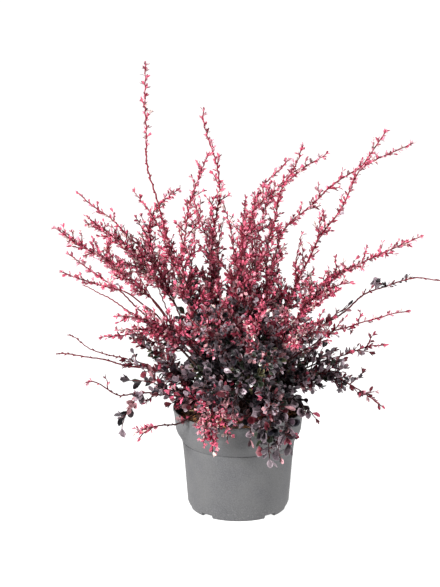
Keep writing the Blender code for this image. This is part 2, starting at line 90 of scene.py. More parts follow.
# The potting mix: a low dome over a short side, with mounds and crumbs of a grain and a strength
MIX_SEGMENTS = 96
MIX_RINGS = 26
MIX_CLEAR = 0.0008
MIX_SIDE = 0.012
MIX_SHOULDER = 0.005
MIX_DOME = 0.004
MIX_RELIEFS = {"mounds": (0.022, 0.0035), "crumbs": (0.0045, 0.0028)}
MIX_LEVEL = 0.75

# Bark chips: how common each tone is, and the tone
Chip = namedtuple("Chip", "share tone")
CHIPS = {
    "chips_dark": Chip(5, (0.060, 0.030, 0.018)),
    "chips_brown": Chip(5, (0.240, 0.100, 0.038)),
    "chips_orange": Chip(3, (0.520, 0.230, 0.075)),
    "chips_straw": Chip(1, (0.640, 0.460, 0.250)),
}
CHIP_BLOCK = (1.0, 0.55, 0.16)
CHIP_CHAMFER = 0.06
CHIP_LENGTHS = (0.35, 1.0)
CHIP_WIDTHS = (0.6, 1.3)
CHIP_HEIGHTS = (0.7, 1.4)
CHIP_TILT = 28
CHIP_LIFT = 0.001
CHIP_MARGIN = 0.008  # width of the mix's edge that stays free of chips

# The woody foot: its radii, with their heights above its base and then below its top
FOOT_SEGMENTS = 48
FOOT_RADIUS = 0.0318
FOOT_FLARE = ((0.030, 0.002), (0.0282, 0.005), (0.0268, 0.009), (0.0264, 0.013))
FOOT_SHOULDER = ((0.0262, 0.004), (0.0256, 0.0014), (0.024, 0.0), (0.016, 0.0), (0.006, 0.0))
# The bark's relief: its grain and strength on the boughs and on the foot
BOUGH_RELIEF = (0.003, 0.0007)
FOOT_RELIEF = (0.005, 0.0016)
BARK_LEVEL = 0.55
BARK_DEPTH = 3

# Barks: the tone in the grooves and on the ridges, and the roughness
Bark = namedtuple("Bark", "dark light roughness")
OLD_BARK = Bark((0.022, 0.012, 0.011), (0.085, 0.036, 0.030), 0.85)
SPINE_HORN = Bark((0.180, 0.040, 0.035), (0.380, 0.130, 0.090), 0.45)
# The young wood's tone at distances from the foot's top
WOOD_TONE = (0.120, 0.020, 0.028)
WOOD_STOPS = ((0.10, (0.014, 0.006, 0.006)), (0.20, (0.095, 0.009, 0.014)), (0.40, (0.210, 0.012, 0.028)))

# Degrees over which an edge still shows as an edge
POT_EDGE = 32
MIX_EDGE = 50
BARK_EDGE = 60
TWIG_EDGE = 80
LEAF_EDGE = 45
# Sides of the tubes that make up the wood
BOUGH_SIDES = 10
STEM_SIDES = 6
FORK_SIDES = 5
TWIG_SIDES = 4
BUD_SIDES = 5

# Boughs stand in three rings on the foot's top: ring radius and bough radius there
RINGS = {"centre": (0.0062, 0.0030), "inner": (0.0137, 0.0032), "outer": (0.0223, 0.0035)}
SEAT_CLEAR = 0.0005
SEAT_ROUNDS = 60
BOUGH_TIP_RADIUS = 0.0017
SKIRT_HEIGHT = 0.1745
SKIRT_START = FOOT_FLARE[-1][0] + 2 * GAP
SKIRT_RADIUS = 0.0020
STEM_TIP_RADIUS = 0.0010

# A shoot runs from the foot to its tip, as in the solids. Its first share is a bare bough. After
# these come the side twigs of its stem, the longest one's length, where its leaves start, the age
# of its leaves' colour at the stem's start and tip, from 0 for old to 1 for young, and how thickly
# its tufts stand.
Shoot = namedtuple(
    "Shoot", "ring azimuth reach height bow sweep share twigs long leafy_from old young thick"
)
SHOOTS = {
    "tall": Shoot("centre", -173, 0.157, 0.783, -0.038, 0.005, 0.4, 10, 0.034, 0.0, 0.62, 0.84, 1.7),
    "upright": Shoot("centre", 135, 0.085, 0.683, -0.012, -0.015, 0.36, 13, 0.034, 0.0, 0.62, 0.84, 1.5),
    "crooked": Shoot("centre", -132, 0.08, 0.64, -0.037, 0.047, 0.36, 24, 0.05, 0.0, 0.55, 0.85, 1.3),
    "forked": Shoot("centre", -21, 0.111, 0.648, 0.0, 0.0, 0.32, 24, 0.04, 0.05, 0.6, 0.84, 1.3),
    "twin": Shoot("centre", 47, 0.118, 0.59, 0.027, -0.026, 0.34, 15, 0.036, 0.05, 0.55, 0.84, 1.2),
    "high_right": Shoot("inner", 18, 0.308, 0.62, 0.08, -0.022, 0.32, 18, 0.036, 0.1, 0.6, 0.86, 1.4),
    "right": Shoot("inner", -12, 0.246, 0.678, 0.015, 0.008, 0.3, 20, 0.036, 0.1, 0.6, 0.86, 1.4),
    "high_left": Shoot("inner", 157, 0.294, 0.523, 0.017, 0.0, 0.32, 12, 0.034, 0.22, 0.88, 0.96, 1.1),
    "left": Shoot("inner", -169, 0.309, 0.515, 0.015, 0.0, 0.32, 32, 0.054, 0.48, 0.84, 0.96, 1.4),
    "back_right_top": Shoot("inner", 75, 0.21, 0.515, 0.03, 0.0, 0.28, 20, 0.075, 0.0, 0.48, 0.8, 1.2),
    "back_left_top": Shoot("inner", 110, 0.23, 0.49, 0.03, 0.0, 0.28, 18, 0.075, 0.0, 0.48, 0.8, 1.1),
    "middle": Shoot("inner", -75, 0.05, 0.535, 0.005, 0.01, 0.26, 28, 0.08, 0.0, 0.4, 0.8, 1.1),
    "low_right": Shoot("outer", -22, 0.317, 0.518, 0.043, 0.004, 0.32, 28, 0.042, 0.1, 0.6, 0.95, 1.5),
    "far_right": Shoot("outer", 18, 0.374, 0.37, 0.046, -0.007, 0.36, 5, 0.016, 0.4, 0.24, 0.34, 0.6),
    "slim_right": Shoot("outer", -30, 0.317, 0.403, 0.033, 0.004, 0.36, 9, 0.03, 0.1, 0.45, 0.95, 0.9),
    "front_right": Shoot("outer", -55, 0.27, 0.385, 0.045, 0.0, 0.28, 18, 0.07, 0.0, 0.24, 0.64, 1.1),
    "front": Shoot("outer", -80, 0.262, 0.345, 0.045, 0.0, 0.28, 18, 0.075, 0.0, 0.0, 0.14, 1.1),
    "front_left": Shoot("outer", -106, 0.262, 0.4, 0.045, 0.0, 0.28, 17, 0.075, 0.0, 0.16, 0.58, 1.1),
    "side_left": Shoot("outer", -139, 0.262, 0.4, 0.04, 0.0, 0.32, 22, 0.056, 0.15, 0.42, 1.0, 1.3),
    "low_left": Shoot("outer", -156, 0.317, 0.461, 0.026, -0.002, 0.34, 9, 0.022, 0.6, 0.6, 0.92, 1.5),
    "slim_left": Shoot("outer", 156, 0.317, 0.41, 0.017, -0.003, 0.36, 5, 0.022, 0.55, 0.5, 0.95, 1.2),
    "back_left": Shoot("outer", 128, 0.295, 0.41, 0.04, 0.0, 0.3, 14, 0.07, 0.25, 0.3, 0.75, 1.0),
    "back_right": Shoot("outer", 50, 0.295, 0.41, 0.04, 0.0, 0.3, 16, 0.065, 0.05, 0.4, 0.85, 1.1),
}
# A skirt's stem leaves the foot's side, arches over the rim and droops
Skirt = namedtuple("Skirt", "azimuth reach height bow sweep twigs long leafy_from old young thick")
SKIRTS = {
    "skirt_right": Skirt(5, 0.245, 0.283, 0.032, 0.001, 18, 0.055, 0.12, 0.24, 0.9, 1.0),
    "skirt_front_right": Skirt(-22, 0.255, 0.218, 0.059, -0.003, 26, 0.058, 0.08, 0.26, 0.6, 1.1),
    "skirt_over_right": Skirt(-65, 0.161, 0.146, 0.075, 0.003, 24, 0.07, 0.05, 0.2, 0.36, 1.1),
    "skirt_over_left": Skirt(-107, 0.152, 0.156, 0.07, 0.007, 22, 0.07, 0.05, 0.2, 1.0, 1.1),
    "skirt_front_left": Skirt(-147, 0.196, 0.166, 0.04, -0.01, 2, 0.028, 0.5, 0.6, 1.0, 1.2),
    "skirt_low_left": Skirt(-168, 0.26, 0.243, 0.038, 0.001, 12, 0.046, 0.12, 0.42, 0.95, 0.9),
    "skirt_left": Skirt(173, 0.311, 0.262, 0.033, 0.001, 16, 0.058, 0.15, 0.42, 0.6, 1.0),
    "skirt_back_left": Skirt(115, 0.24, 0.22, 0.06, 0.0, 18, 0.075, 0.1, 0.1, 0.45, 1.0),
    "skirt_back_right": Skirt(60, 0.245, 0.23, 0.06, 0.0, 18, 0.075, 0.1, 0.1, 0.45, 1.0),
}
# A fork leaves a mass's stem at a share of its length and runs to a tip of its own. It has its own
# side twigs, colour age at its tip and density of tufts, and may have a colour age at its start and
# a size of its leaves, as a share of what is usual there. The solids have only four forks.
Fork = namedtuple(
    "Fork", "mass start azimuth reach height bow twigs long young thick old leaf", defaults=(None, 1.0)
)
FORKS = {
    "forked_side": Fork("middle", 0.8, -8, 0.147, 0.635, 0.012, 14, 0.022, 0.88, 1.2),
    "twin_side": Fork("twin", 0.15, 64, 0.067, 0.528, 0.004, 3, 0.018, 0.75, 1.0),
    "high_left_side": Fork("high_left", 0.22, 173, 0.261, 0.512, 0.004, 22, 0.048, 1.0, 1.4, 0.9),
    "high_left_low": Fork("high_left", 0.15, 174, 0.186, 0.451, 0.004, 5, 0.028, 1.0, 1.1, 0.9),
    "high_left_mid": Fork("high_left", 0.2, 160, 0.225, 0.458, 0.004, 5, 0.025, 1.0, 1.1, 0.9),
    "left_low": Fork("left", 0.3, -170, 0.229, 0.457, 0.004, 13, 0.032, 0.92, 1.5),
    "skirt_left_side": Fork("skirt_left", 0.45, 165, 0.307, 0.282, 0.012, 0, 0.015, 0.45, 1.0),
    "tall_side": Fork("tall", 0.1, 174, 0.177, 0.557, 0.006, 5, 0.02, 0.8, 1.2),
    "hook": Fork("high_left", 0.42, 169, 0.101, 0.564, 0.022, 14, 0.028, 0.86, 1.4),
    "hook_low": Fork("high_left", 0.42, 170, 0.177, 0.51, 0.004, 2, 0.014, 0.8, 1.1),
    "wand_left": Fork("upright", 0.12, 125, 0.049, 0.562, 0.004, 12, 0.026, 0.88, 1.5),
    "wand_thin": Fork("crooked", 0.15, 144, 0.084, 0.528, 0.004, 2, 0.015, 0.75, 0.6),
    "wand_middle": Fork("middle", 0.55, 180, 0.025, 0.541, 0.004, 6, 0.022, 0.84, 1.2),
    "wand_upright": Fork("twin", 0.08, 58, 0.023, 0.545, 0.004, 9, 0.024, 0.88, 1.4),
    "spur_right": Fork("right", 0.2, -11, 0.108, 0.494, 0.006, 1, 0.012, 0.75, 0.8),
    "spur_high": Fork("right", 0.42, -12, 0.143, 0.532, 0.002, 3, 0.014, 0.85, 1.3),
    "thin_left": Fork("side_left", 0.8, -169, 0.267, 0.415, 0.003, 0, 0.01, 0.6, 0.1),
    "cluster_left": Fork("side_left", 0.3, -145, 0.244, 0.365, 0.006, 10, 0.028, 0.98, 1.4, 0.75),
    "tip_front_left": Fork("skirt_front_left", 0.86, -150, 0.199, 0.168, 0.002, 5, 0.014, 1.0, 1.5, 0.95),
    "rim_side": Fork("skirt_low_left", 0.2, -165, 0.118, 0.196, 0.006, 6, 0.028, 0.45, 1.1, 0.3),
    "low_right_side": Fork("low_right", 0.3, -23, 0.202, 0.428, 0.004, 9, 0.026, 0.95, 1.4, 0.8),
    "rim_side_front": Fork("skirt_low_left", 0.12, -153, 0.111, 0.198, 0.006, 10, 0.028, 0.5, 1.1, 0.34),
    "bare_left": Fork("left", 0.02, -169, 0.161, 0.452, 0.002, 0, 0.01, 0.6, 0.1),
    "bare_low_left": Fork("low_left", 0.02, -164, 0.181, 0.439, 0.002, 0, 0.01, 0.6, 0.1),
    "fill_back": Fork("back_right_top", 0.0, 47, 0.083, 0.338, 0.002, 14, 0.04, 0.5, 1.3, 0.34),
    "low_far_right": Fork("far_right", 0.05, 18, 0.198, 0.34, 0.002, 2, 0.012, 0.38, 1.0, 0.66, 1.2),
    "pair_right": Fork("far_right", 0.6, 18, 0.249, 0.378, 0.001, 0, 0.01, 0.22, 1.0, 0.2, 1.3),
    "fill_right": Fork("front_right", 0.15, -62, 0.15, 0.388, 0.004, 13, 0.038, 0.6, 1.2, 0.42),
    "fill_middle": Fork("middle", 0.25, -40, 0.06, 0.47, 0.004, 13, 0.034, 0.8, 1.2, 0.6),
    "high_left_tip": Fork("high_left", 0.4, 170, 0.262, 0.495, 0.004, 12, 0.03, 0.95, 1.4, 0.85),
    "band_left": Fork("side_left", 0.05, -150, 0.205, 0.338, 0.004, 14, 0.038, 0.6, 1.3, 0.42),
    "band_low": Fork("skirt_left", 0.15, -163, 0.185, 0.318, 0.004, 13, 0.038, 0.5, 1.3, 0.38),
    "cluster_low": Fork("side_left", 0.35, -152, 0.258, 0.346, 0.004, 12, 0.028, 0.75, 1.3, 0.55),
    "wine_left": Fork("side_left", 0.15, -146, 0.179, 0.359, 0.004, 14, 0.04, 0.62, 1.4, 0.45),
    "low_right_top": Fork("low_right", 0.22, -24, 0.195, 0.454, 0.004, 4, 0.018, 0.95, 1.4, 0.75),
    "low_right_front": Fork("low_right", 0.08, -40, 0.216, 0.435, 0.004, 9, 0.028, 0.95, 1.4, 0.7),
    "coral_front": Fork("front", 0.35, -87, 0.2, 0.399, 0.006, 6, 0.026, 1.0, 1.4, 0.8),
    "coral_right": Fork("front_right", 0.35, -65, 0.221, 0.359, 0.006, 6, 0.028, 1.0, 1.3, 0.75),
    "pink_front_left": Fork("front_left", 0.45, -110, 0.17, 0.389, 0.006, 4, 0.024, 0.9, 1.0, 0.6),
    "pink_high_left": Fork("front_left", 0.5, -97, 0.182, 0.431, 0.006, 4, 0.024, 0.8, 1.0, 0.5),
    "pink_high": Fork("front", 0.25, -79, 0.203, 0.44, 0.006, 7, 0.026, 0.95, 1.1, 0.55),
    "pink_high_right": Fork("front_right", 0.35, -67, 0.2, 0.415, 0.006, 7, 0.026, 0.95, 1.1, 0.6),
    "pink_right": Fork("front_right", 0.42, -51, 0.207, 0.386, 0.006, 5, 0.026, 0.92, 1.2, 0.7),
    "pink_low": Fork("front", 0.5, -84, 0.205, 0.374, 0.006, 5, 0.026, 0.95, 1.2, 0.7),
    # Its leaves take the near-black kinds, partly painted shade in the crown's heart
    "dark_heart": Fork("front_left", 0.3, -103, 0.165, 0.408, 0.004, 8, 0.03, 0.08, 1.2, 0.0),
    "pink_heart": Fork("skirt_over_left", 0.45, -96, 0.121, 0.23, 0.006, 4, 0.018, 1.0, 1.2, 0.8, 0.75),
    "red_left": Fork("skirt_front_left", 0.15, -156, 0.147, 0.223, 0.004, 5, 0.028, 0.6, 1.1),
    "hanging_left": Fork("skirt_low_left", 0.64, -163, 0.208, 0.162, 0.01, 3, 0.016, 0.33, 1.0, 0.33, 1.3),
    "mauve_left": Fork("skirt_low_left", 0.45, -170, 0.188, 0.238, 0.006, 2, 0.018, 0.33, 1.0, 0.33, 1.35),
    "dark_right": Fork("skirt_right", 0.3, 0, 0.156, 0.278, 0.004, 5, 0.03, 0.36, 1.0, 0.26),
    "dark_middle": Fork("skirt_front_right", 0.3, -16, 0.144, 0.256, 0.004, 5, 0.03, 0.36, 1.0, 0.24),
    "rim_right": Fork("skirt_front_right", 0.15, -27, 0.147, 0.182, 0.012, 4, 0.025, 0.6, 1.0, 0.3, 1.3),
    "rim_middle": Fork("skirt_over_right", 0.15, -82, 0.135, 0.168, 0.016, 6, 0.035, 0.3, 1.1),
    "rim_left": Fork("skirt_over_left", 0.15, -125, 0.128, 0.188, 0.01, 6, 0.028, 0.6, 1.0),
    "rim_front": Fork("front", 0.1, -95, 0.14, 0.205, 0.012, 6, 0.04, 0.25, 1.1),
    "mauve_rim_left": Fork(
        "skirt_over_right", 0.62, -77, 0.149, 0.161, 0.012, 4, 0.022, 0.28, 1.0, 0.24, 1.6
    ),
    "mauve_rim_low": Fork("skirt_over_right", 0.74, -71, 0.157, 0.14, 0.01, 4, 0.02, 0.22, 1.0, 0.2, 1.6),
    "mauve_rim_right": Fork(
        "skirt_over_right", 0.62, -58, 0.158, 0.163, 0.012, 4, 0.022, 0.28, 1.0, 0.24, 1.6
    ),
    "mauve_rim_top": Fork("skirt_over_right", 0.55, -72, 0.15, 0.184, 0.01, 4, 0.02, 0.4, 1.0, 0.3, 1.4),
    "pink_rim_left": Fork("skirt_over_left", 0.64, -113, 0.15, 0.158, 0.01, 14, 0.022, 1.0, 1.4, 0.9, 0.74),
    "pink_rim_low": Fork("skirt_over_left", 0.7, -105, 0.15, 0.15, 0.01, 14, 0.022, 1.0, 1.4, 0.9, 0.74),
    "pink_rim_right": Fork(
        "skirt_over_left", 0.64, -98, 0.141, 0.17, 0.01, 14, 0.022, 1.0, 1.4, 0.88, 0.74
    ),
    "pink_rim_top": Fork("skirt_over_left", 0.56, -92, 0.13, 0.195, 0.008, 8, 0.02, 0.95, 1.3, 0.8, 0.74),
    "pink_rim_side": Fork(
        "skirt_over_left", 0.6, -118, 0.142, 0.182, 0.008, 10, 0.02, 1.0, 1.3, 0.88, 0.74
    ),
}
# Where a stem or fork strays from its smooth curve, seen from the front: the share of its length at
# which it strays most, and how far to the right and up it lies there
Sway = namedtuple("Sway", "share right up")
SWAYS = {
    "tall": Sway(0.75, -0.005, 0.0),
    "upright": Sway(0.7, 0.025, 0.0),
    "crooked": Sway(0.7, -0.005, 0.0),
    "forked": Sway(0.7, -0.02, 0.005),
    "twin": Sway(0.8, -0.015, 0.005),
    "high_right": Sway(0.4, -0.015, 0.015),
    "low_right": Sway(0.25, -0.005, 0.01),
    "far_right": Sway(0.8, 0.0, 0.015),
    "high_left": Sway(0.55, 0.015, 0.015),
    "left": Sway(0.3, 0.01, 0.015),
    "low_left": Sway(0.4, 0.015, 0.015),
    "skirt_right": Sway(0.6, 0.005, -0.01),
    "skirt_front_left": Sway(0.65, 0.01, -0.025),
    "skirt_low_left": Sway(0.8, 0.005, -0.04),
    "skirt_left": Sway(0.8, 0.0, -0.01),
    "skirt_left_side": Sway(0.6, -0.005, -0.02),
    "hook": Sway(0.4, -0.015, 0.005),
    "wand_left": Sway(0.8, -0.01, 0.005),
    "forked_side": Sway(0.25, -0.01, 0.01),
}
# An upright mass also has slim canes beside its stem. Their tips lie at shares of the stem's reach
# and of its height above the foot, and turned about the plant's axis by up to so many degrees.
CANES = 2
CANE_MASSES = ("upright", "crooked", "forked", "twin", "middle", "back_right_top", "back_left_top")
CANE_TURN = 22
CANE_REACHES = (0.5, 0.9)
CANE_HEIGHTS = (0.45, 0.68)
CANE_TWIGS = 7
CANE_LONG = 0.02
CANE_THICK = 1.1
CANE_STARTS = (0.0, 0.08)  # shares of the stem
CANE_BOWS = (0.0, 0.01)
# Shares of a stem or fork between which it has no leaves
BARE_STRETCHES = {
    "tall": (0.3, 0.62),
    "far_right": (0.78, 9.0),
    "skirt_left": (0.5, 9.0),
    "skirt_left_side": (0.05, 9.0),
    "skirt_front_left": (0.58, 0.8),
    "skirt_low_left": (0.62, 0.84),
}
# The share of its length at which a stem ends sooner than its solid does
SHORT_STEMS = {"back_right": 0.62}
# The age that the leaves' colour has at least in the crown's heart, at each height
RIPE_HEIGHTS = (0.25, 0.3, 0.36, 0.41, 0.46, 0.6)
RIPE_AGES = (0.0, 0.12, 0.38, 0.62, 0.76, 0.86)
RIPE_REACH = 0.2

# Twigs. A size or share with two values is drawn between them.
STEM_STEPS = 44
BOUGH_STEPS = 40
FORK_RADIUS = 0.0015
TWIG_RADIUS = 0.0011
TWIG_TIP_RADIUS = 0.0008
TWIG_ANGLE = 42
TWIG_LEAN = 14  # degrees by which that angle differs
TWIG_BOW = 0.06
TWIG_RISE = 0.25
SKIRT_TWIG_RISE = 0.20
TWIG_SHRINK = 0.72
TWIG_SCATTER = (0.0, 0.6)
TWIG_CROWDING = 1.3  # above 1, more of the side twigs stand near the start of what carries them
TWIG_SIZES = (0.45, 1.15)
TWIG_AGES = (-0.10, 0.10)
FIRST_TWIG = 0.04
LAST_TWIG = 0.92
TRIES = 5
TRY_TURN = 50
SPACE_SAMPLES = 25
TWIG_STEP = 0.006
FINE_TWIG_FROM = 0.030  # twigs longer than this branch once more
FINE_TWIG_SHARES = (0.30, 0.48, 0.66, 0.80)
FINE_TWIG_SIZES = (0.45, 0.85)
FINE_TWIG_AGES = (-0.05, 0.15)
WANDER = 0.010  # how far a stem strays sideways from its smooth line, of its length
SIDE_WAVES = (1.3, 2.9)  # turns of the slow and the quick wave along it
OTHER_WAVES = (1.7, 3.3)
KINK = 0.0008
YOUNG_SPRAY_ABOVE = 0.27
YOUNG_SPRAY = 0.11  # share of the twigs whose leaves are much younger than their neighbours
SPRAY_YOUTH = 0.45
SKIRT_RIPENING = 3.0
FORK_RIPENING = 0.4  # how far a fork starts from its stem's age towards that of its own tip
STEM_EXTRA = 0.006  # how far a stem runs on beyond its curve
# Twigs on a bough: their number, longest length, the share where they start, and their ages
INNER_TWIGS = 10
INNER_LONG = 0.070
INNER_FROM = 0.35
# These old ages give the bough twigs the near-black leaf kinds, partly painted shade in the heart
INNER_AGES = (0.0, 0.25)
INNER_THICK = 1.1
CLEAR_BOUGHS = ("left", "high_left", "low_left", "slim_left")
# Openings through the crown, along the line of sight from the front: both ends and the radius
GAPS = (
    (Vector((-0.101, 0.25, 0.197)), Vector((-0.093, -0.25, 0.36)), 0.013),
    (Vector((0.038, 0.25, 0.228)), Vector((0.035, -0.25, 0.389)), 0.006),
    (Vector((0.13, 0.25, 0.173)), Vector((0.119, -0.25, 0.335)), 0.009),
    (Vector((0.152, 0.25, 0.16)), Vector((0.139, -0.25, 0.321)), 0.007),
    (Vector((-0.076, -0.02, 0.165)), Vector((-0.075, -0.25, 0.249)), 0.011),
    (Vector((0.012, -0.09, 0.169)), Vector((0.011, -0.25, 0.228)), 0.006),
)

# Tufts of leaves
STEM_LEAFY_FROM = 0.02
TWIG_LEAFY_FROM = 0.10
TWIG_RIPENING = 0.12
AGE_SPREAD = 0.06
NODE_GAPS = (0.8, 1.2)
TUFT_SHARE = 0.85
TUFT_LEAVES = (2, 5)
TUFT_THICKNESS = (0.4, 1.2)
TUFT_SPREAD = 27
TUFT_SPREADS = (0.35, 1.35)
TUFT_LEAN = 38
TUFT_LEANS = (-12, 12)
TIP_LEAN = 14
LEAF_LIFT = 0.45  # how much the leaves turn up to the light
LEAF_SIZES = (0.60, 1.12)
LEAF_FALL = (0.12, 0.36)  # distances from the foot between which the leaves shrink
FAR_SHRINK = 0.65  # how much of the shrinking comes from that distance
YOUNG_SHRINK = 0.75  # and how much from their youth
LEAF_STATIONS = ((0.26, 0.11), (0.60, 0.25), (0.88, 0.17))  # share, half width
SMALL_LEAF = 0.0095
SMALL_LEAF_STATIONS = ((0.38, 0.14), (0.78, 0.25))
# A blade's four sides between two stations, by the station's points: left, right, top and bottom
BLADE_SIDES = ((2, 1), (0, 2), (1, 3), (3, 0))
LEAF_WIDTHS = (1.28, 0.68)  # of the largest and the smallest leaves
WIDTH_SPREAD = (0.85, 1.15)
LEAF_CUPS = (0.02, 0.55)
LEAF_BENDS = (-0.30, 0.30)
LEAF_THICKNESS = 0.0003
ROUND_OLD = 0.45  # how much less than others the dark purple leaves narrow when they are small
TIP_SHARE = 0.99  # where a limb's last tuft stands
BUD_SHARE = 0.70  # share of the nodes on a bare stretch that have a bud
BUD_LENGTH = 0.0046
BUD_SHOULDER = 0.6
BUD_RADIUS = 0.0017
BUD_TAPER = 0.4
LEAF_ATTRIBUTE = "leaf"  # on each point: how near to the margin it is, and its leaf's own shade
SPINE_SHARE = 0.45
SPINE_RADIUS = 0.00028
SPINE_SLANT = 0.2
SPINE_SIZES = (0.5, 1.0)
SPINE_CORNERS = (0, 2.094, 4.189)  # radians
WALL_CLEAR = 0.0015  # of leaves and twigs to the pot and the mix

# The two ways that leaves shine: the old ones are smoother, with a stronger and paler edge. That pale edge
# is partly the leaves' own and partly painted highlight, and its lift is partly painted sheen.
Shine = namedtuple("Shine", "roughness specular margin bloom")
OLD_SHINE = Shine(0.32, 0.60, 0.60, 0.09)
YOUNG_SHINE = Shine(0.42, 0.30, 0.45, 0.03)

# Leaf kinds: the age at which each is commonest, how far it spreads to either side, and how much
# of it there is
Kind = namedtuple("Kind", "slot age spread share")
KINDS = {
    # The ink and bottle kinds go to the oldest leaves, deep in the crown's heart; their near-black is
    # partly painted shade there
    "ink": Kind("foliage_purple", 0.02, 0.26, 1.2),
    "bottle": Kind("foliage_purple", 0.04, 0.24, 0.8),
    "plum": Kind("foliage_purple", 0.22, 0.2, 0.8),
    # The dusk, mauve and dusty kinds are pale partly from real bloom and pale leaf backs, partly as painted
    # sheen
    "dusk": Kind("foliage_purple", 0.26, 0.22, 0.9),
    "mauve": Kind("foliage_purple", 0.34, 0.24, 0.95),
    "olive": Kind("foliage_purple", 0.15, 0.22, 0.12),
    "wine": Kind("foliage_wine", 0.52, 0.2, 0.9),
    "dusty": Kind("foliage_wine", 0.54, 0.24, 0.95),
    "crimson": Kind("foliage_wine", 0.68, 0.16, 0.8),
    "rose": Kind("foliage_rose", 0.76, 0.18, 1.1),
    "coral": Kind("foliage_rose", 0.9, 0.2, 1.2),
    "blush": Kind("foliage_rose", 0.95, 0.2, 0.8),
    "cream": Kind("foliage_rose", 1.0, 0.14, 0.35),
}
ODD_LEAF = 0.25  # share of a tuft's leaves that take a kind of their own
# Which masses each leaf piece stands for
WINE_MASSES = (
    "back_right_top", "back_left_top", "middle", "far_right", "front_right", "front", "front_left",
    "slim_left", "back_left", "back_right",
)
ROSE_MASSES = tuple(name for name in SHOOTS if name not in WINE_MASSES)
STANDS_FOR = {"rose": ROSE_MASSES, "wine": WINE_MASSES, "plum": tuple(SKIRTS)}

# Stage
Light = namedtuple("Light", "place size")
LIGHTS = {"key": Light((-2.5, -2.1, 1.9), 0.9), "fill": Light((2.9, -1.4, 1.5), 2.0)}
LIT_POINT = Vector((0, 0, 0.35))
FLOOR_SIZE = 60.0
FLOOR_DROP = 0.0004
CAMERA_AIM = Vector((-0.03176, 0, 0.38337))
CAMERA_DISTANCE = 5.88153
CAMERA_SLANT = 18  # degrees that it looks down
CAMERA_LENS = 212.05  # millimetres
CAMERA_SENSOR = 36.0
CAMERA_END = 100.0

Mesh = namedtuple("Mesh", "verts faces marks", defaults=(None,))
Leaf = namedtuple("Leaf", "root along facing length width cup bend shade")


def colour(name, default, description):
    """A colour property."""
    return FloatVectorProperty(
        name=name, description=description, default=default, subtype="COLOR", min=0.0, max=1.0
    )


def metres(name, default, description):
    """A length property."""
    return FloatProperty(name=name, description=description, default=default, unit="LENGTH")


def number(name, default, description):
    """A property that is a plain number, or a strength of light."""
    return FloatProperty(name=name, description=description, default=default)


def whole(name, default, description):
    """A property that is a whole number."""
    return IntProperty(name=name, description=description, default=default, min=0)


class PotSizes(bpy.types.PropertyGroup):
    height: metres("Height", POT_HIGH.z, "From the ground to the rim")
    rim_radius: metres("Rim radius", POT_HIGH.x, "Outside of the rolled rim")
    wall: metres("Wall", 0.0022, "Thickness of the moulded wall")
    floor: metres("Floor", 0.010, "Height of the inner floor")
    tint: colour("Tint", (0.077, 0.077, 0.081), "Colour of the moulded plastic")
    dust: colour("Dust", (0.107, 0.106, 0.104), "Colour of the rubbed and dusty patches")


class MixSizes(bpy.types.PropertyGroup):
    chips: whole("Chips", 420, "Number of bark chips on the potting mix")
    chip_length: metres("Chip length", 0.013, "Length of the longest chips")
    dark: colour("Dark", (0.045, 0.024, 0.013), "Moist peat")
    warm: colour("Warm", (0.300, 0.140, 0.055), "Dry peat")


class GrowthSizes(bpy.types.PropertyGroup):
    old_leaf: metres("Old leaf", 0.0168, "Length of the leaves in the heart")
    young_leaf: metres("Young leaf", 0.0098, "Length of the leaves near the tips")
    node_gap: number("Node gap", 0.56, "Distance between two tufts, in leaf lengths")
    spine: metres("Spine", 0.010, "Length of the longest spines")
    seed: whole("Seed", 7, "Another number gives another crown")


class LeafColours(bpy.types.PropertyGroup):
    # The ink and bottle tones go to the oldest leaves in the crown's heart; their near-black is partly
    # painted shade there
    ink: colour("Ink", (0.008, 0.008, 0.012), "Oldest leaves, almost black")
    bottle: colour("Bottle", (0.014, 0.021, 0.010), "Oldest leaves that kept a little green")
    plum: colour("Plum", (0.034, 0.020, 0.028), "Old leaves")
    # The dusk, mauve and dusty tones are pale partly from real bloom and pale leaf backs, partly as painted
    # sheen
    dusk: colour("Dusk", (0.110, 0.085, 0.099), "Old leaves with a thin bloom")
    mauve: colour("Mauve", (0.298, 0.224, 0.258), "Old leaves with a pale bloom")
    olive: colour("Olive", (0.120, 0.110, 0.050), "A few yellow-green leaves")
    wine: colour("Wine", (0.120, 0.016, 0.026), "Dark red leaves")
    dusty: colour("Dusty", (0.400, 0.200, 0.220), "Wine leaves with a pale bloom")
    crimson: colour("Crimson", (0.295, 0.030, 0.060), "Red leaves")
    rose: colour("Rose", (0.485, 0.084, 0.146), "Rose pink leaves")
    coral: colour("Coral", (0.650, 0.112, 0.188), "Bright pink leaves")
    blush: colour("Blush", (0.710, 0.300, 0.368), "Pale pink leaves")
    cream: colour("Cream", (0.740, 0.560, 0.520), "Cream splashed leaves")


class StageSizes(bpy.types.PropertyGroup):
    floor: colour("Floor", (0.30, 0.30, 0.30), "Plain pale floor")
    glow: number("Glow", 0.92, "Light that the floor gives off itself")
    sky: number("Sky", 0.17, "Strength of the soft light all round")
    key: number("Key", 276.0, "Power of the soft light from the upper left")
    fill: number("Fill", 104.0, "Power of the softer light from the right")


def deselect_all():
    for item in bpy.context.selected_objects:
        item.select_set(False)


def edit(item, mode="EDIT"):
    bpy.context.view_layer.objects.active = item
    bpy.ops.object.mode_set(mode=mode)


def apply_modifiers(item):
    bpy.context.view_layer.objects.active = item
    for modifier in list(item.modifiers):
        bpy.ops.object.modifier_apply(modifier=modifier.name)


def smooth(item, angle):
    """Shades an object smooth but for the edges sharper than an angle."""
    deselect_all()
    item.select_set(True)
    bpy.context.view_layer.objects.active = item
    bpy.ops.object.shade_smooth_by_angle(angle=math.radians(angle))


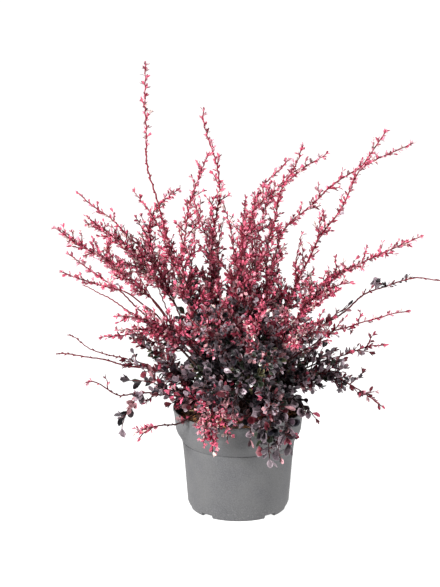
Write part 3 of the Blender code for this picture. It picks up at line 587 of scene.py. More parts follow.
def raised(name, segments, start, profile):
    """A turned shape, raised from a disc of a radius, at a height, through a profile of both."""
    deselect_all()
    radius, height = start
    place = (0, 0, height)
    bpy.ops.mesh.primitive_circle_add(vertices=segments, radius=radius, fill_type="NGON", location=place)
    item = bpy.context.object
    item.name = item.data.name = name
    edit(item)
    bpy.ops.mesh.select_all(action="SELECT")
    for next_radius, next_height in profile:
        step = (0, 0, next_height - height)
        bpy.ops.mesh.extrude_region_move(TRANSFORM_OT_translate={"value": step})
        share = next_radius / radius
        bpy.ops.transform.resize(value=(share, share, 1), center_override=(0, 0, next_height))
        radius, height = next_radius, next_height
    bpy.ops.mesh.select_all(action="SELECT")
    bpy.ops.mesh.normals_make_consistent(inside=False)
    edit(item, "OBJECT")
    bpy.ops.object.transform_apply(location=True, rotation=True, scale=True)
    return item


def press(item, name, grain, strength, level, depth=2, direction="NORMAL"):
    """Presses a cloudy relief of a given grain into a piece."""
    texture = bpy.data.textures.new(name, "CLOUDS")
    texture.noise_scale = grain
    texture.noise_depth = depth
    relief = item.modifiers.new(name, "DISPLACE")
    relief.texture = texture
    relief.direction = direction
    relief.strength = strength
    relief.mid_level = level
    apply_modifiers(item)


def add_object(name, mesh, material):
    data = bpy.data.meshes.new(name)
    faces = [list(map(int, face)) for face in mesh.faces]
    data.from_pydata(np.asarray(mesh.verts, float).tolist(), [], faces)
    if mesh.marks is not None:
        marks = data.attributes.new(LEAF_ATTRIBUTE, "FLOAT_VECTOR", "POINT")
        marks.data.foreach_set("vector", mesh.marks.ravel())
    data.materials.append(material)
    item = bpy.data.objects.new(name, data)
    bpy.context.scene.collection.objects.link(item)
    return item


def put(item, slot, *nodes):
    """Sets a finished piece on the frame under the root body and hides the nodes that it stands for. The
    slot is not used.
    """
    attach(item, "root")
    if nodes:
        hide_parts(*nodes)


def polar(azimuth, radius, height):
    angle = math.radians(azimuth)
    return Vector((radius * math.cos(angle), radius * math.sin(angle), height))


def clamp(value, low=0.0, high=1.0):
    return min(high, max(low, value))


def swung(start, end, angle):
    """The direction at an angle in radians from one direction towards another, square to it."""
    return start * math.cos(angle) + end * math.sin(angle)


# Materials


def new_material(name, tone, roughness, specular=None):
    """A material with its shader, and the colour and roughness that it starts from."""
    material = bpy.data.materials.new(name)
    material.use_nodes = True
    shader = material.node_tree.nodes["Principled BSDF"]
    shader.inputs["Base Color"].default_value = (*tone, 1.0)
    shader.inputs["Roughness"].default_value = roughness
    if specular is not None:
        shader.inputs["Specular IOR Level"].default_value = specular
    material.diffuse_color = (*tone, 1.0)
    return material, shader


def connect(material, value, socket):
    """Feeds a socket from another node's output, or sets it to a value."""
    if isinstance(value, bpy.types.NodeSocket):
        material.node_tree.links.new(value, socket)
    else:
        socket.default_value = value


def add_node(material, kind, **inputs):
    node = material.node_tree.nodes.new(f"ShaderNode{kind}")
    for name, value in inputs.items():
        connect(material, value, node.inputs[name])
    return node


def own_place(material):
    """The place on the piece, in its own coordinates."""
    return add_node(material, "TexCoord").outputs["Object"]


def parts_of(material, vector):
    return add_node(material, "SeparateXYZ", Vector=vector).outputs


def noise(material, scale, detail=3, stretch=(1, 1, 1)):
    """A noise pattern on the piece's own coordinates, so many to the metre. Returns its output."""
    mapping = add_node(material, "Mapping", Vector=own_place(material), Scale=stretch)
    place = mapping.outputs["Vector"]
    return add_node(material, "TexNoise", Vector=place, Scale=scale, Detail=detail).outputs["Fac"]


def ramp(material, value, *stops):
    """A colour ramp of (position, colour) stops over a value, where a number stands for a grey."""
    node = add_node(material, "ValToRGB", Fac=value)
    elements = node.color_ramp.elements
    for index, (position, tone) in enumerate(stops):
        element = elements[index] if index < 2 else elements.new(position)
        element.position = position
        element.color = (*(tone if isinstance(tone, tuple) else (tone,) * 3), 1.0)
    return node.outputs["Color"]


def bump(material, shader, height, strength, distance):
    node = add_node(material, "Bump", Height=height, Strength=strength, Distance=distance)
    connect(material, node.outputs["Normal"], shader.inputs["Normal"])


# The lift is used only on the leaves' pale edges, where it is partly painted sheen
def shaded(tone, factor, bloom=0.0):
    return tuple(min(1.0, channel * factor + bloom) for channel in tone)


def blend(material, factor, first, second, how="MIX"):
    """Mixes two colours by a factor, each of the three a value or an output. Returns the result."""
    mix = material.node_tree.nodes.new("ShaderNodeMix")
    mix.data_type = "RGBA"
    mix.blend_type = how
    connect(material, factor, mix.inputs["Factor"])
    for name, tone in (("A", first), ("B", second)):
        connect(material, (*tone, 1.0) if isinstance(tone, tuple) else tone, mix.inputs[name])
    return mix.outputs["Result"]


def leaf_finish(kind, tone):
    """A leaf's colour: each lighter or darker than the next, finely flecked, with a paler edge that is
    partly its own and partly painted highlight.
    """
    shine = OLD_SHINE if KINDS[kind].slot == "foliage_purple" else YOUNG_SHINE
    material, shader = new_material(f"leaf_{kind}", tone, shine.roughness, shine.specular)
    own = add_node(material, "Attribute")
    own.attribute_name = LEAF_ATTRIBUTE
    marks = parts_of(material, own.outputs["Vector"])
    body = ramp(material, marks["Y"], (0.0, shaded(tone, 0.42)), (0.52, tone), (1.0, shaded(tone, 1.45)))
    flecks = ramp(material, noise(material, 330, 2), (0.36, 0.55), (0.56, 1.0))
    body = blend(material, 1.0, body, flecks, "MULTIPLY")
    # Pale edge: partly the leaf's own, partly painted highlight and sheen
    margin = ramp(material, marks["X"], (0.66, 0.0), (1.0, shine.margin))
    body = blend(material, margin, body, shaded(tone, 1.5, shine.bloom))
    connect(material, body, shader.inputs["Base Color"])
    bump(material, shader, noise(material, 900, 1), 0.25, 0.0004)
    return material


def grained(name, tone, roughness, grain, stops, relief, strength, depth):
    """A material with a ramp of colours over one noise, and a relief of another."""
    material, shader = new_material(name, tone, roughness)
    body = ramp(material, noise(material, *grain), *stops)
    connect(material, body, shader.inputs["Base Color"])
    bump(material, shader, noise(material, *relief), strength, depth)
    return material


def bark_finish(name, bark):
    stops = ((0.35, bark.dark), (0.60, bark.light))
    return grained(name, bark.dark, bark.roughness, (420, 4), stops, (700, 3), 0.5, 0.0005)


def mix_finish(sizes):
    dark, warm = tuple(sizes.dark), tuple(sizes.warm)
    stops = ((0.30, shaded(dark, 0.5)), (0.50, dark), (0.68, warm))
    return grained("potting_mix", dark, 0.95, (260, 6), stops, (500, 5), 0.9, 0.0015)


def chip_finish(name, tone):
    stops = ((0.35, shaded(tone, 0.5)), (0.62, tone))
    return grained(name, tone, 0.85, (300, 4), stops, (600, 3, (1, 4, 4)), 0.6, 0.0006)


def wood_finish():
    """Stems that turn from near black by the foot to red at the tips."""
    material, shader = new_material("young_wood", WOOD_TONE, 0.50, 0.20)
    away = material.node_tree.nodes.new("ShaderNodeVectorMath")
    away.operation = "DISTANCE"
    away.inputs[1].default_value = (0, 0, FOOT_HIGH.z)
    connect(material, own_place(material), away.inputs[0])
    tint = ramp(material, away.outputs["Value"], *WOOD_STOPS)
    grain = ramp(material, noise(material, 500), (0.3, 0.6), (0.7, 1.0))
    connect(material, blend(material, 1.0, tint, grain, "MULTIPLY"), shader.inputs["Base Color"])
    bump(material, shader, noise(material, 900, 2), 0.3, 0.0003)
    return material


def pot_finish(sizes):
    """Matt moulded plastic: a fine speckle, dust in soft patches, and pale flecks near the ground."""
    tint, dust = tuple(sizes.tint), tuple(sizes.dust)
    material, shader = new_material("pot_plastic", tint, 0.60)
    patches = ramp(material, noise(material, 26, 5), (0.35, 0.0), (0.75, 0.5))
    specks = noise(material, 520, 4)
    speckle = ramp(material, specks, (0.36, shaded(tint, 0.78)), (0.64, shaded(tint, 1.18)))
    flecks = ramp(material, noise(material, 380), (0.56, 0.0), (0.66, 1.0))
    near_ground = ramp(material, parts_of(material, own_place(material))["Z"], (0.004, 0.5), (0.040, 0.0))
    low = blend(material, 1.0, flecks, near_ground, "MULTIPLY")
    body = blend(material, patches, speckle, dust)
    connect(material, blend(material, low, body, shaded(dust, 1.7)), shader.inputs["Base Color"])
    bump(material, shader, noise(material, 1400, 2), 0.35, 0.0003)
    return material


# Pot and potting mix


def pot_shell(sizes):
    """The pot, raised from a disc through its outer wall, over the rim and down inside."""
    scale = sizes.height / POT_WALL_TOP
    outer = [(sizes.rim_radius * share, height * scale) for share, height in POT_WALL]
    top = (sizes.rim_radius - RIM_ROUNDING[0], sizes.height)
    lip = (sizes.rim_radius - sizes.wall + RIM_ROUNDING[1], sizes.height)
    inner = [(radius - sizes.wall, height) for radius, height in reversed(outer) if height > sizes.floor]
    profile = [*outer[1:], top, lip, *inner, (inner[-1][0], sizes.floor)]
    pot = raised("pot_shell", POT_SEGMENTS, outer[0], profile)
    cut_notches(pot, outer[0][0] - NOTCH_REACH)
    bevel = pot.modifiers.new("edges", "BEVEL")
    bevel.width = POT_ROUNDING
    bevel.segments = 2
    bevel.limit_method = "ANGLE"
    bevel.angle_limit = math.radians(38)
    apply_modifiers(pot)
    pot.data.materials.append(pot_finish(sizes))
    smooth(pot, POT_EDGE)
    return pot


def cut_notches(pot, inner):
    """Cuts the notches out of the pot's foot with blocks that reach through it from a radius on."""
    for from_front in NOTCH_AZIMUTHS:
        deselect_all()
        azimuth = from_front - 90
        bpy.ops.mesh.primitive_cube_add(size=1.0, location=polar(azimuth, inner + NOTCH_CUTTER / 2, 0))
        block = bpy.context.object
        block.scale = (NOTCH_CUTTER, NOTCH_WIDTH, 2 * NOTCH_HEIGHT)
        block.rotation_euler.z = math.radians(azimuth)
        cut = pot.modifiers.new("notch", "BOOLEAN")
        cut.operation = "DIFFERENCE"
        cut.object = block
        apply_modifiers(pot)
        bpy.data.objects.remove(block, do_unlink=True)


def mix_surface(sizes):
    """The top of the potting mix: a domed disc with a short side, roughened."""
    radius, top = MIX_HIGH.x - MIX_CLEAR, MIX_HIGH.z
    profile = [(radius, top - MIX_SHOULDER)]
    for i in range(1, MIX_RINGS):
        share = 1 - i / MIX_RINGS
        profile.append((radius * share, top - MIX_DOME * share ** 2))
    item = raised("potting_mix", MIX_SEGMENTS, (radius, top - MIX_SIDE), profile)
    for name, (grain, strength) in MIX_RELIEFS.items():
        press(item, name, grain, strength, MIX_LEVEL, direction="Z")
    item.data.materials.append(mix_finish(sizes))
    smooth(item, MIX_EDGE)
    return item


def chip_shape():
    """One bark chip, modelled from a block: flat, with chamfered and pulled corners."""
    deselect_all()
    bpy.ops.mesh.primitive_cube_add(size=1.0)
    item = bpy.context.object
    edit(item)
    bpy.ops.mesh.select_all(action="SELECT")
    bpy.ops.transform.resize(value=CHIP_BLOCK, center_override=(0, 0, 0))
    bpy.ops.mesh.bevel(offset=CHIP_CHAMFER, segments=1)
    edit(item, "OBJECT")
    draw = random.Random("chip")
    pull = CHIP_CHAMFER
    verts = [v.co + Vector([draw.uniform(-pull, pull) for _ in range(3)]) for v in item.data.vertices]
    faces = [tuple(face.vertices) for face in item.data.polygons]
    bpy.data.objects.remove(item, do_unlink=True)
    return Mesh(np.array(verts), faces)


def scatter_chips(sizes):
    """Bark chips on the potting mix, each a copy of one chip, joined by their colour."""
    shape = chip_shape()
    draw = random.Random("chips")
    meshes = {name: [] for name in CHIPS}
    shares = [chip.share for chip in CHIPS.values()]
    reach = MIX_HIGH.x - CHIP_MARGIN
    for _ in range(sizes.chips):
        name = draw.choices(list(CHIPS), shares)[0]
        radius = FOOT_HIGH.x + (reach - FOOT_HIGH.x) * math.sqrt(draw.random())
        height = MIX_HIGH.z - MIX_DOME * (radius / reach) ** 2 + CHIP_LIFT
        place = polar(draw.uniform(0, 360), radius, height)
        length = sizes.chip_length * draw.uniform(*CHIP_LENGTHS)
        turn = draw.uniform(0, 360)
        tip, roll = (draw.uniform(-CHIP_TILT, CHIP_TILT) for _ in range(2))
        ahead = polar(turn, 1, math.tan(math.radians(tip))).normalized()
        side = (UP.cross(ahead) + UP * math.sin(math.radians(roll))).normalized()
        side = (side - ahead * side.dot(ahead)).normalized()
        turned = np.array([ahead, side, ahead.cross(side)])
        width, thick = length * draw.uniform(*CHIP_WIDTHS), length * draw.uniform(*CHIP_HEIGHTS)
        points = (shape.verts * (length, width, thick)) @ turned + np.array(place)
        meshes[name].append(Mesh(points, shape.faces))
    return [
        add_object(name, joined(meshes[name]), chip_finish(name, chip.tone))
        for name, chip in CHIPS.items()
        if meshes[name]
    ]


# Limbs


def curve_point(curve, share):
    """A point at a share, from 0 to 1, of the curve given as its start, knee and end."""
    start, knee, end = curve
    rest = 1 - share
    return start * rest * rest + knee * 2 * share * rest + end * share * share


def arched(start, end, bow, sweep):
    """The curve between two points whose middle lies off the straight line by bow and sweep."""
    along = (end - start).normalized()
    up = (UP - along * along.z).normalized()
    side = along.cross(up)
    knee = (start + end) / 2 + up * 2 * bow + side * 2 * sweep
    return start, knee, end


def ring_seats():
    """Where each bough stands: at its azimuth, pushed along its ring until all have room."""
    seats = {}
    for ring, (radius, thick) in RINGS.items():
        names = sorted((n for n in SHOOTS if SHOOTS[n].ring == ring), key=lambda n: SHOOTS[n].azimuth)
        turns = [SHOOTS[name].azimuth for name in names]
        room = 2 * math.degrees(math.asin((thick + SEAT_CLEAR) / radius))
        for _ in range(SEAT_ROUNDS):
            for i in range(len(names)):
                after = (i + 1) % len(names)
                push = max(0.0, room - (turns[after] - turns[i]) % 360) / 2
                turns[i] -= push
                turns[after] += push
        for name, turn in zip(names, turns):
            seats[name] = polar(turn, radius, FOOT_HIGH.z + GAP)
    return seats


def across(direction):
    """Two unit vectors square to a direction and to each other."""
    direction = direction.normalized()
    guide = UP if abs(direction.z) < 0.9 else Vector((0, 1, 0))
    side = direction.cross(guide).normalized()
    return side, side.cross(direction)


def line_length(points):
    return sum((b - a).length for a, b in zip(points, points[1:]))


class Limb:
    """A bough, stem or twig: the points along it, and its radius at each."""

    def __init__(self, points, radius, tip_radius, name=None):
        last = len(points) - 1
        self.points = points
        self.name = name
        self.radii = [radius + (tip_radius - radius) * i / last for i in range(last + 1)]

    def along(self, share):
        """The point at a share of the limb, and the direction there."""
        place = share * (len(self.points) - 1)
        step = min(int(place), len(self.points) - 2)
        low, high = self.points[step], self.points[step + 1]
        return low.lerp(high, place - step), (high - low).normalized()


def wave(share, turns, phases):
    """A slow wave with a quicker one of half its height over it."""
    slow, quick = (math.sin(FULL_TURN * turn * share + phase) for turn, phase in zip(turns, phases))
    return slow + 0.5 * quick


def stray(points, draw):
    """Lets a line wander sideways between its ends, with a small kink at each point."""
    length = line_length(points)
    side, other = across(points[-1] - points[0])
    phases = [draw.uniform(0, FULL_TURN) for _ in range(4)]
    last = len(points) - 1
    for i in range(1, last):
        share = i / last
        reach = math.sin(math.pi * share) * WANDER * length
        first, second = wave(share, SIDE_WAVES, phases[:2]), wave(share, OTHER_WAVES, phases[2:])
        kink = KINK * (1 if i % 2 else -1)
        points[i] = points[i] + side * (first * reach + kink) + other * second * reach
    return points


def swayed(points, name):
    """Moves a line's points by the sway of its name, which fades out towards both its ends."""
    if name not in SWAYS:
        return points
    sway = SWAYS[name]
    last = len(points) - 1
    moved = []
    for i, point in enumerate(points):
        share = i / last
        part = share / sway.share if share < sway.share else (1 - share) / (1 - sway.share)
        moved.append(point + Vector((sway.right, 0, sway.up)) * part * part * (3 - 2 * part))
    return moved


def tube(limb, sides):
    """A closed tube along a limb."""
    points, verts, side = limb.points, [], None
    for i, point in enumerate(points):
        ahead = (points[min(i + 1, len(points) - 1)] - points[max(i - 1, 0)]).normalized()
        if side is None:
            side = across(ahead)[0]
        side = (side - ahead * side.dot(ahead)).normalized()
        other = ahead.cross(side)
        for corner in range(sides):
            verts.append(point + swung(side, other, FULL_TURN * corner / sides) * limb.radii[i])
    faces = [tuple(reversed(range(sides)))]
    for low in range(0, len(verts) - sides, sides):
        high = low + sides
        for corner in range(sides):
            after = (corner + 1) % sides
            faces.append((low + corner, low + after, high + after, high + corner))
    faces.append(tuple(range(len(verts) - sides, len(verts))))
    return Mesh(verts, faces)


def joined(meshes):
    verts, faces = [], []
    for mesh in meshes:
        offset = len(verts)
        verts.extend(mesh.verts)
        faces.extend(tuple(i + offset for i in face) for face in mesh.faces)
    return Mesh(verts, faces)


# Crown


class Mass:
    """A mass of foliage: its stem and forks, its twigs with their finer twigs, spines and leaves."""

    def __init__(self, name, curve, plan, crown):
        self.name = name
        self.plan = plan
        self.crown = crown
        self.skirt = isinstance(plan, Skirt)
        self.draw = random.Random(f"{name} {crown.seed}")
        first = 0.0 if self.skirt else plan.share
        span = (1 - first) * SHORT_STEMS.get(name, 1.0)
        points = [curve_point(curve, first + span * i / STEM_STEPS) for i in range(STEM_STEPS + 1)]
        points = swayed(stray(points, self.draw), name)
        points.append(points[-1] + (points[-1] - points[-2]).normalized() * STEM_EXTRA)
        self.stem = Limb(points, SKIRT_RADIUS if self.skirt else BOUGH_TIP_RADIUS, STEM_TIP_RADIUS, name)
        self.forks = [self.fork(key, fork) for key, fork in FORKS.items() if fork.mass == name]
        if name in CANE_MASSES:
            self.forks += [self.cane(number) for number in range(CANES)]
        self.twigs = []
        self.buds = []

    def fork(self, name, fork):
        start, _ = self.stem.along(fork.start)
        end = polar(fork.azimuth, fork.reach, fork.height)
        curve = arched(start, end, fork.bow, 0.0)
        steps = max(6, round((end - start).length / TWIG_STEP))
        points = stray([curve_point(curve, i / steps) for i in range(steps + 1)], self.draw)
        return Limb(swayed(points, name), FORK_RADIUS, TWIG_TIP_RADIUS, name), fork

    def cane(self, number):
        """A slim cane from low on the stem, at about the same slant."""
        plan, draw = self.plan, self.draw
        azimuth = plan.azimuth + draw.uniform(-CANE_TURN, CANE_TURN)
        height = FOOT_HIGH.z + (plan.height - FOOT_HIGH.z) * draw.uniform(*CANE_HEIGHTS)
        reach = plan.reach * draw.uniform(*CANE_REACHES)
        start, bow = draw.uniform(*CANE_STARTS), draw.uniform(*CANE_BOWS)
        cane = Fork(
            self.name, start, azimuth, reach, height, bow, CANE_TWIGS, CANE_LONG, plan.young, CANE_THICK
        )
        return self.fork(f"{self.name}_cane_{number}", cane)

    def grow(self, space):
        """Twigs on the stem, its forks and its bough, then the leaves on all of them."""
        plan = self.plan
        first, old, young = plan.leafy_from, plan.old, plan.young
        self.branch(self.stem, plan.twigs, plan.long, first, old, young, plan.thick, 1.0, space)
        for limb, fork in self.forks:
            ripens = fork.old is None
            start = old + (fork.young - old) * FORK_RIPENING if ripens else fork.old
            ages = (start, fork.young)
            self.branch(limb, fork.twigs, fork.long, 0.0, *ages, fork.thick, fork.leaf, space, ripens)
        if not self.skirt and self.name not in CLEAR_BOUGHS:
            bough = self.crown.boughs[self.name]
            inner = (INNER_TWIGS, INNER_LONG, INNER_FROM, *INNER_AGES, INNER_THICK)
            self.branch(bough, *inner, 1.0, None, False)

    def branch(self, limb, twigs, long, first, old, young, thick, leaf, space, ripens=True):
        """Side twigs on a limb, and the leaves on it and on them. A bough has no leaves itself."""
        before = len(self.twigs)
        self.side_twigs(limb, twigs, long, first, old, young, space)
        if space:
            self.dress(limb, max(first, STEM_LEAFY_FROM), old, young, thick, leaf, ripens)
        for twig, age in self.twigs[before:]:
            self.dress(twig, TWIG_LEAFY_FROM, age, age + TWIG_RIPENING, thick, leaf, ripens)

    def side_twigs(self, carrier, count, long, first, old, young, space):
        """Side twigs that shorten towards the tip and turn round their carrier."""
        draw = self.draw
        turn = draw.uniform(0, 360)
        first = max(FIRST_TWIG, first)
        for i in range(count):
            part = (i + draw.uniform(*TWIG_SCATTER)) / count
            share = first + (LAST_TWIG - first) * part ** TWIG_CROWDING
            turn += GOLDEN_ANGLE
            if is_bare(carrier, share):
                continue
            age = self.age(old, young, share) + draw.uniform(*TWIG_AGES)
            if draw.random() < YOUNG_SPRAY and space and carrier.along(share)[0].z > YOUNG_SPRAY_ABOVE:
                age += SPRAY_YOUTH
            length = long * (1 - TWIG_SHRINK * share) * draw.uniform(*TWIG_SIZES)
            twig = self.try_twig(carrier, share, turn, length, space, age)
            if twig and length > FINE_TWIG_FROM:
                self.fine_twigs(twig, length, space, age)

    def fine_twigs(self, carrier, length, space, age):
        turn = self.draw.uniform(0, 360)
        for share in FINE_TWIG_SHARES:
            turn += GOLDEN_ANGLE
            size = length * (1 - share) * self.draw.uniform(*FINE_TWIG_SIZES)
            own_age = age + self.draw.uniform(*FINE_TWIG_AGES)
            self.try_twig(carrier, share, turn, size, space, own_age)

    def age(self, old, young, share):
        """The age of the leaves' colour at a share of a limb. On a skirt it turns young late."""
        return old + (young - old) * share ** (SKIRT_RIPENING if self.skirt else 1.0)

    def try_twig(self, carrier, share, turn, length, space, age):
        """Adds a twig in the first direction where it keeps to its mass's space."""
        start, ahead = carrier.along(share)
        side, other = across(ahead)
        for attempt in range(TRIES):
            angle = math.radians(turn + TRY_TURN * attempt)
            lean = math.radians(TWIG_ANGLE + self.draw.uniform(-TWIG_LEAN, TWIG_LEAN))
            direction = swung(ahead, swung(side, other, angle), lean)
            rise = SKIRT_TWIG_RISE if self.skirt else TWIG_RISE
            end = start + direction * length + UP * length * rise
            if in_pot(end) or in_gap(end) or (space and not space.holds(end, self.name)):
                continue
            knee = start.lerp(end, 0.5) + direction * TWIG_BOW * 2 * length
            steps = max(3, round(length / TWIG_STEP))
            points = [curve_point((start, knee, end), i / steps) for i in range(steps + 1)]
            limb = Limb(stray(points, self.draw), TWIG_RADIUS, TWIG_TIP_RADIUS)
            self.twigs.append((limb, age))
            return limb
        return None

    def dress(self, limb, leafy_from, old, young, thick, leaf, ripens):
        """Tufts of leaves at the nodes of a limb, and a spine at some of them."""
        draw = self.draw
        length = line_length(limb.points)
        share = leafy_from
        turn = draw.uniform(0, 360)
        while share < 1:
            point, ahead = limb.along(share)
            age = max(self.age(old, young, share), ripe_age(point) if ripens else 0.0)
            age += draw.gauss(0, AGE_SPREAD)
            turn += GOLDEN_ANGLE
            size = self.crown.leaf_length(point, age) * leaf
            step = self.crown.node_gap * size
            bare = is_bare(limb, share)
            last = share + step / length >= 1
            share += step * draw.uniform(*NODE_GAPS) / length
            out = swung(*across(ahead), math.radians(turn))
            if draw.random() < SPINE_SHARE:
                self.crown.spines.append((point, (out + ahead * SPINE_SLANT).normalized()))
            if bare:
                if draw.random() < BUD_SHARE:
                    self.bud(point, (out + ahead).normalized())
            elif last:
                self.tuft(*limb.along(TIP_SHARE), out, age, thick, size, True)
            elif draw.random() < thick * TUFT_SHARE:
                self.tuft(point, ahead, out, age, thick, size, False)

    def bud(self, point, direction):
        """A short stout bud at a node without leaves."""
        points = [point + direction * BUD_LENGTH * share for share in (0.0, BUD_SHOULDER, 1.0)]
        self.buds.append(Limb(points, BUD_RADIUS, BUD_RADIUS * BUD_TAPER))

    def tuft(self, point, ahead, out, age, thick, base, last):
        """A few leaves that spread from one node. At a limb's end they point along it."""
        draw = self.draw
        count = max(1, round(draw.randint(*TUFT_LEAVES) * clamp(thick, *TUFT_THICKNESS)))
        lean = TIP_LEAN if last else TUFT_LEAN + draw.uniform(*TUFT_LEANS)
        axis = swung(ahead, out, math.radians(lean))
        side, other = across(axis)
        turn = draw.uniform(0, 360)
        own_kind = deal_kind(age, draw)
        for _ in range(count):
            turn += GOLDEN_ANGLE
            spread = math.radians(draw.uniform(*TUFT_SPREADS) * TUFT_SPREAD)
            beside = swung(side, other, math.radians(turn))
            direction = swung(axis, beside, spread)
            facing = axis * math.sin(spread) - beside * math.cos(spread) + UP * LEAF_LIFT
            length = base * draw.uniform(*LEAF_SIZES)
            tip = point + direction * length
            if in_pot(tip) or in_pot(point.lerp(tip, 0.5)) or in_gap(tip):
                continue
            kind = deal_kind(age, draw) if draw.random() < ODD_LEAF else own_kind
            self.crown.add_leaf(point, direction, facing, length, kind, draw)


def is_bare(limb, share):
    """Whether a limb has no leaves at a share of it."""
    low, high = BARE_STRETCHES.get(limb.name, (2, 2))
    return low < share < high


def in_pot(point):
    """Whether a point is inside the pot's wall or the potting mix."""
    radius = math.hypot(point.x, point.y)
    if point.z >= MIX_HIGH.z + WALL_CLEAR:
        return point.z < POT_HIGH.z + WALL_CLEAR and abs(radius - POT_HIGH.x + WALL_CLEAR) < 2 * WALL_CLEAR
    shares, heights = zip(*POT_WALL)
    return radius < np.interp(point.z, heights, shares) * POT_HIGH.x + WALL_CLEAR


def ripe_age(point):
    """The age that leaf colours have at least at a place in the crown's heart."""
    if math.hypot(point.x, point.y) > RIPE_REACH:
        return 0.0
    return float(np.interp(point.z, RIPE_HEIGHTS, RIPE_AGES))


def deal_kind(age, draw):
    """Draws a kind of leaf of about an age."""
    age = clamp(age)
    aways = [(kind, (age - kind.age) / kind.spread) for kind in KINDS.values()]
    weights = [kind.share * math.exp(-(away ** 2)) for kind, away in aways]
    return draw.choices(list(KINDS), weights)[0]


def in_gap(point):
    """Whether a point lies in one of the openings through the crown."""
    for start, end, radius in GAPS:
        line = end - start
        share = clamp((point - start).dot(line) / line.length_squared)
        if (start + line * share - point).length < radius:
            return True
    return False


class Space:
    """The room that each mass keeps to: nearer to its own leafy limbs than to any other's."""

    def __init__(self, masses):
        samples, self.owners = [], []
        for mass in masses:
            leafy = [(mass.stem, mass.plan.leafy_from), *((limb, 0.0) for limb, _ in mass.forks)]
            for limb, first in leafy:
                for i in range(SPACE_SAMPLES):
                    samples.append(limb.along(first + (1 - first) * i / (SPACE_SAMPLES - 1))[0])
                    self.owners.append(mass.name)
        self.samples = np.array(samples)

    def holds(self, point, name):
        nearest = np.linalg.norm(self.samples - np.array(point), axis=1).argmin()
        return self.owners[nearest] == name


class Crown:
    """All limbs, spines and leaves of the plant."""

    def __init__(self, old_leaf, young_leaf, node_gap, seed):
        self.leaf_lengths = (old_leaf, young_leaf)
        self.node_gap = node_gap
        self.seed = seed
        self.boughs = {}
        self.masses = []
        self.spines = []
        self.leaves = {kind: [] for kind in KINDS}
        seats = ring_seats()
        for name, shoot in SHOOTS.items():
            tip = polar(shoot.azimuth, shoot.reach, shoot.height)
            curve = arched(seats[name], tip, shoot.bow, shoot.sweep)
            points = [curve_point(curve, shoot.share * i / BOUGH_STEPS) for i in range(BOUGH_STEPS + 1)]
            self.boughs[name] = Limb(points, RINGS[shoot.ring][1], BOUGH_TIP_RADIUS)
            self.masses.append(Mass(name, curve, shoot, self))
        for name, skirt in SKIRTS.items():
            start = polar(skirt.azimuth, SKIRT_START, SKIRT_HEIGHT)
            tip = polar(skirt.azimuth, skirt.reach, skirt.height)
            self.masses.append(Mass(name, arched(start, tip, skirt.bow, skirt.sweep), skirt, self))
        space = Space(self.masses)
        for mass in self.masses:
            mass.grow(space)

    def leaf_length(self, place, age):
        """The length of the leaves at a place, which are smaller far from the foot and when young."""
        near, far = LEAF_FALL
        away = clamp(((place - UP * FOOT_HIGH.z).length - near) / (far - near))
        old, young = self.leaf_lengths
        return old + (young - old) * min(1.0, FAR_SHRINK * away + YOUNG_SHRINK * clamp(age))

    def add_leaf(self, root, direction, facing, length, kind, draw):
        old, young = self.leaf_lengths
        small = clamp((old - length) / (old - young))
        if KINDS[kind].slot == "foliage_purple":
            small *= ROUND_OLD
        width = LEAF_WIDTHS[0] + (LEAF_WIDTHS[1] - LEAF_WIDTHS[0]) * small
        width *= draw.uniform(*WIDTH_SPREAD)
        cup, bend = draw.uniform(*LEAF_CUPS), draw.uniform(*LEAF_BENDS)
        leaf = Leaf(root, direction.normalized(), facing, length, width, cup, bend, draw.random())
        self.leaves[kind].append(leaf)


@lru_cache(maxsize=2)
def grown_crown(old_leaf, young_leaf, node_gap, seed):
    return Crown(old_leaf, young_leaf, node_gap, seed)


def crown_of(scene):
    sizes = scene.barberry_growth
    return grown_crown(sizes.old_leaf, sizes.young_leaf, sizes.node_gap, sizes.seed)


def leaf_template(stations):
    """A spoon-shaped leaf one unit long: its points as (along, across, layer), and its triangles."""
    points = [(0.0, 0.0, 0.0), (1.0, 0.0, 0.0)]
    rows = []
    for share, half in stations:
        rows.append(len(points))
        points += [(share, half, 0.0), (share, -half, 0.0), (share, 0.0, 1.0), (share, 0.0, -1.0)]
    faces = [(0, rows[0] + b, rows[0] + a) for a, b in BLADE_SIDES]
    faces += [(1, rows[-1] + a, rows[-1] + b) for a, b in BLADE_SIDES]
    for low, high in zip(rows, rows[1:]):
        for a, b in BLADE_SIDES:
            faces += [(low + a, low + b, high + b), (low + a, high + b, high + a)]
    return np.array(points), np.array(faces)


def leaf_mesh(leaves):
    """All leaves of one kind as one mesh. The small ones are cut out with fewer points."""
    large = blades([leaf for leaf in leaves if leaf.length > SMALL_LEAF], LEAF_STATIONS)
    small = blades([leaf for leaf in leaves if leaf.length <= SMALL_LEAF], SMALL_LEAF_STATIONS)
    faces = np.vstack((large.faces, small.faces + len(large.verts)))
    return Mesh(np.vstack((large.verts, small.verts)), faces, np.vstack((large.marks, small.marks)))


def blades(leaves, stations):
    """Closed blades, each folded and bent in its own way."""
    if not leaves:
        return Mesh(np.empty((0, 3)), np.empty((0, 3), int), np.empty((0, 3)))
    points, faces = leaf_template(stations)
    root, along, facing, *measures = (np.array(values) for values in zip(*leaves))
    length, width, cup, bend, shade = (values[:, None] for values in measures)
    side = np.cross(along, facing)
    side /= np.linalg.norm(side, axis=1)[:, None]
    face = np.cross(side, along)
    x, y, layer = points.T
    lift = (cup * np.abs(y) + bend * x * x) * length + layer * LEAF_THICKNESS / 2
    verts = root[:, None] + along[:, None] * (x * length)[..., None]
    verts = verts + side[:, None] * (y * width * length)[..., None] + face[:, None] * lift[..., None]
    every = faces[None] + (np.arange(len(leaves)) * len(points))[:, None, None]
    marks = np.zeros((len(leaves), len(points), 3))
    marks[..., 0] = layer == 0.0
    marks[..., 1] = shade
    return Mesh(verts.reshape(-1, 3), every.reshape(-1, 3), marks.reshape(-1, 3))


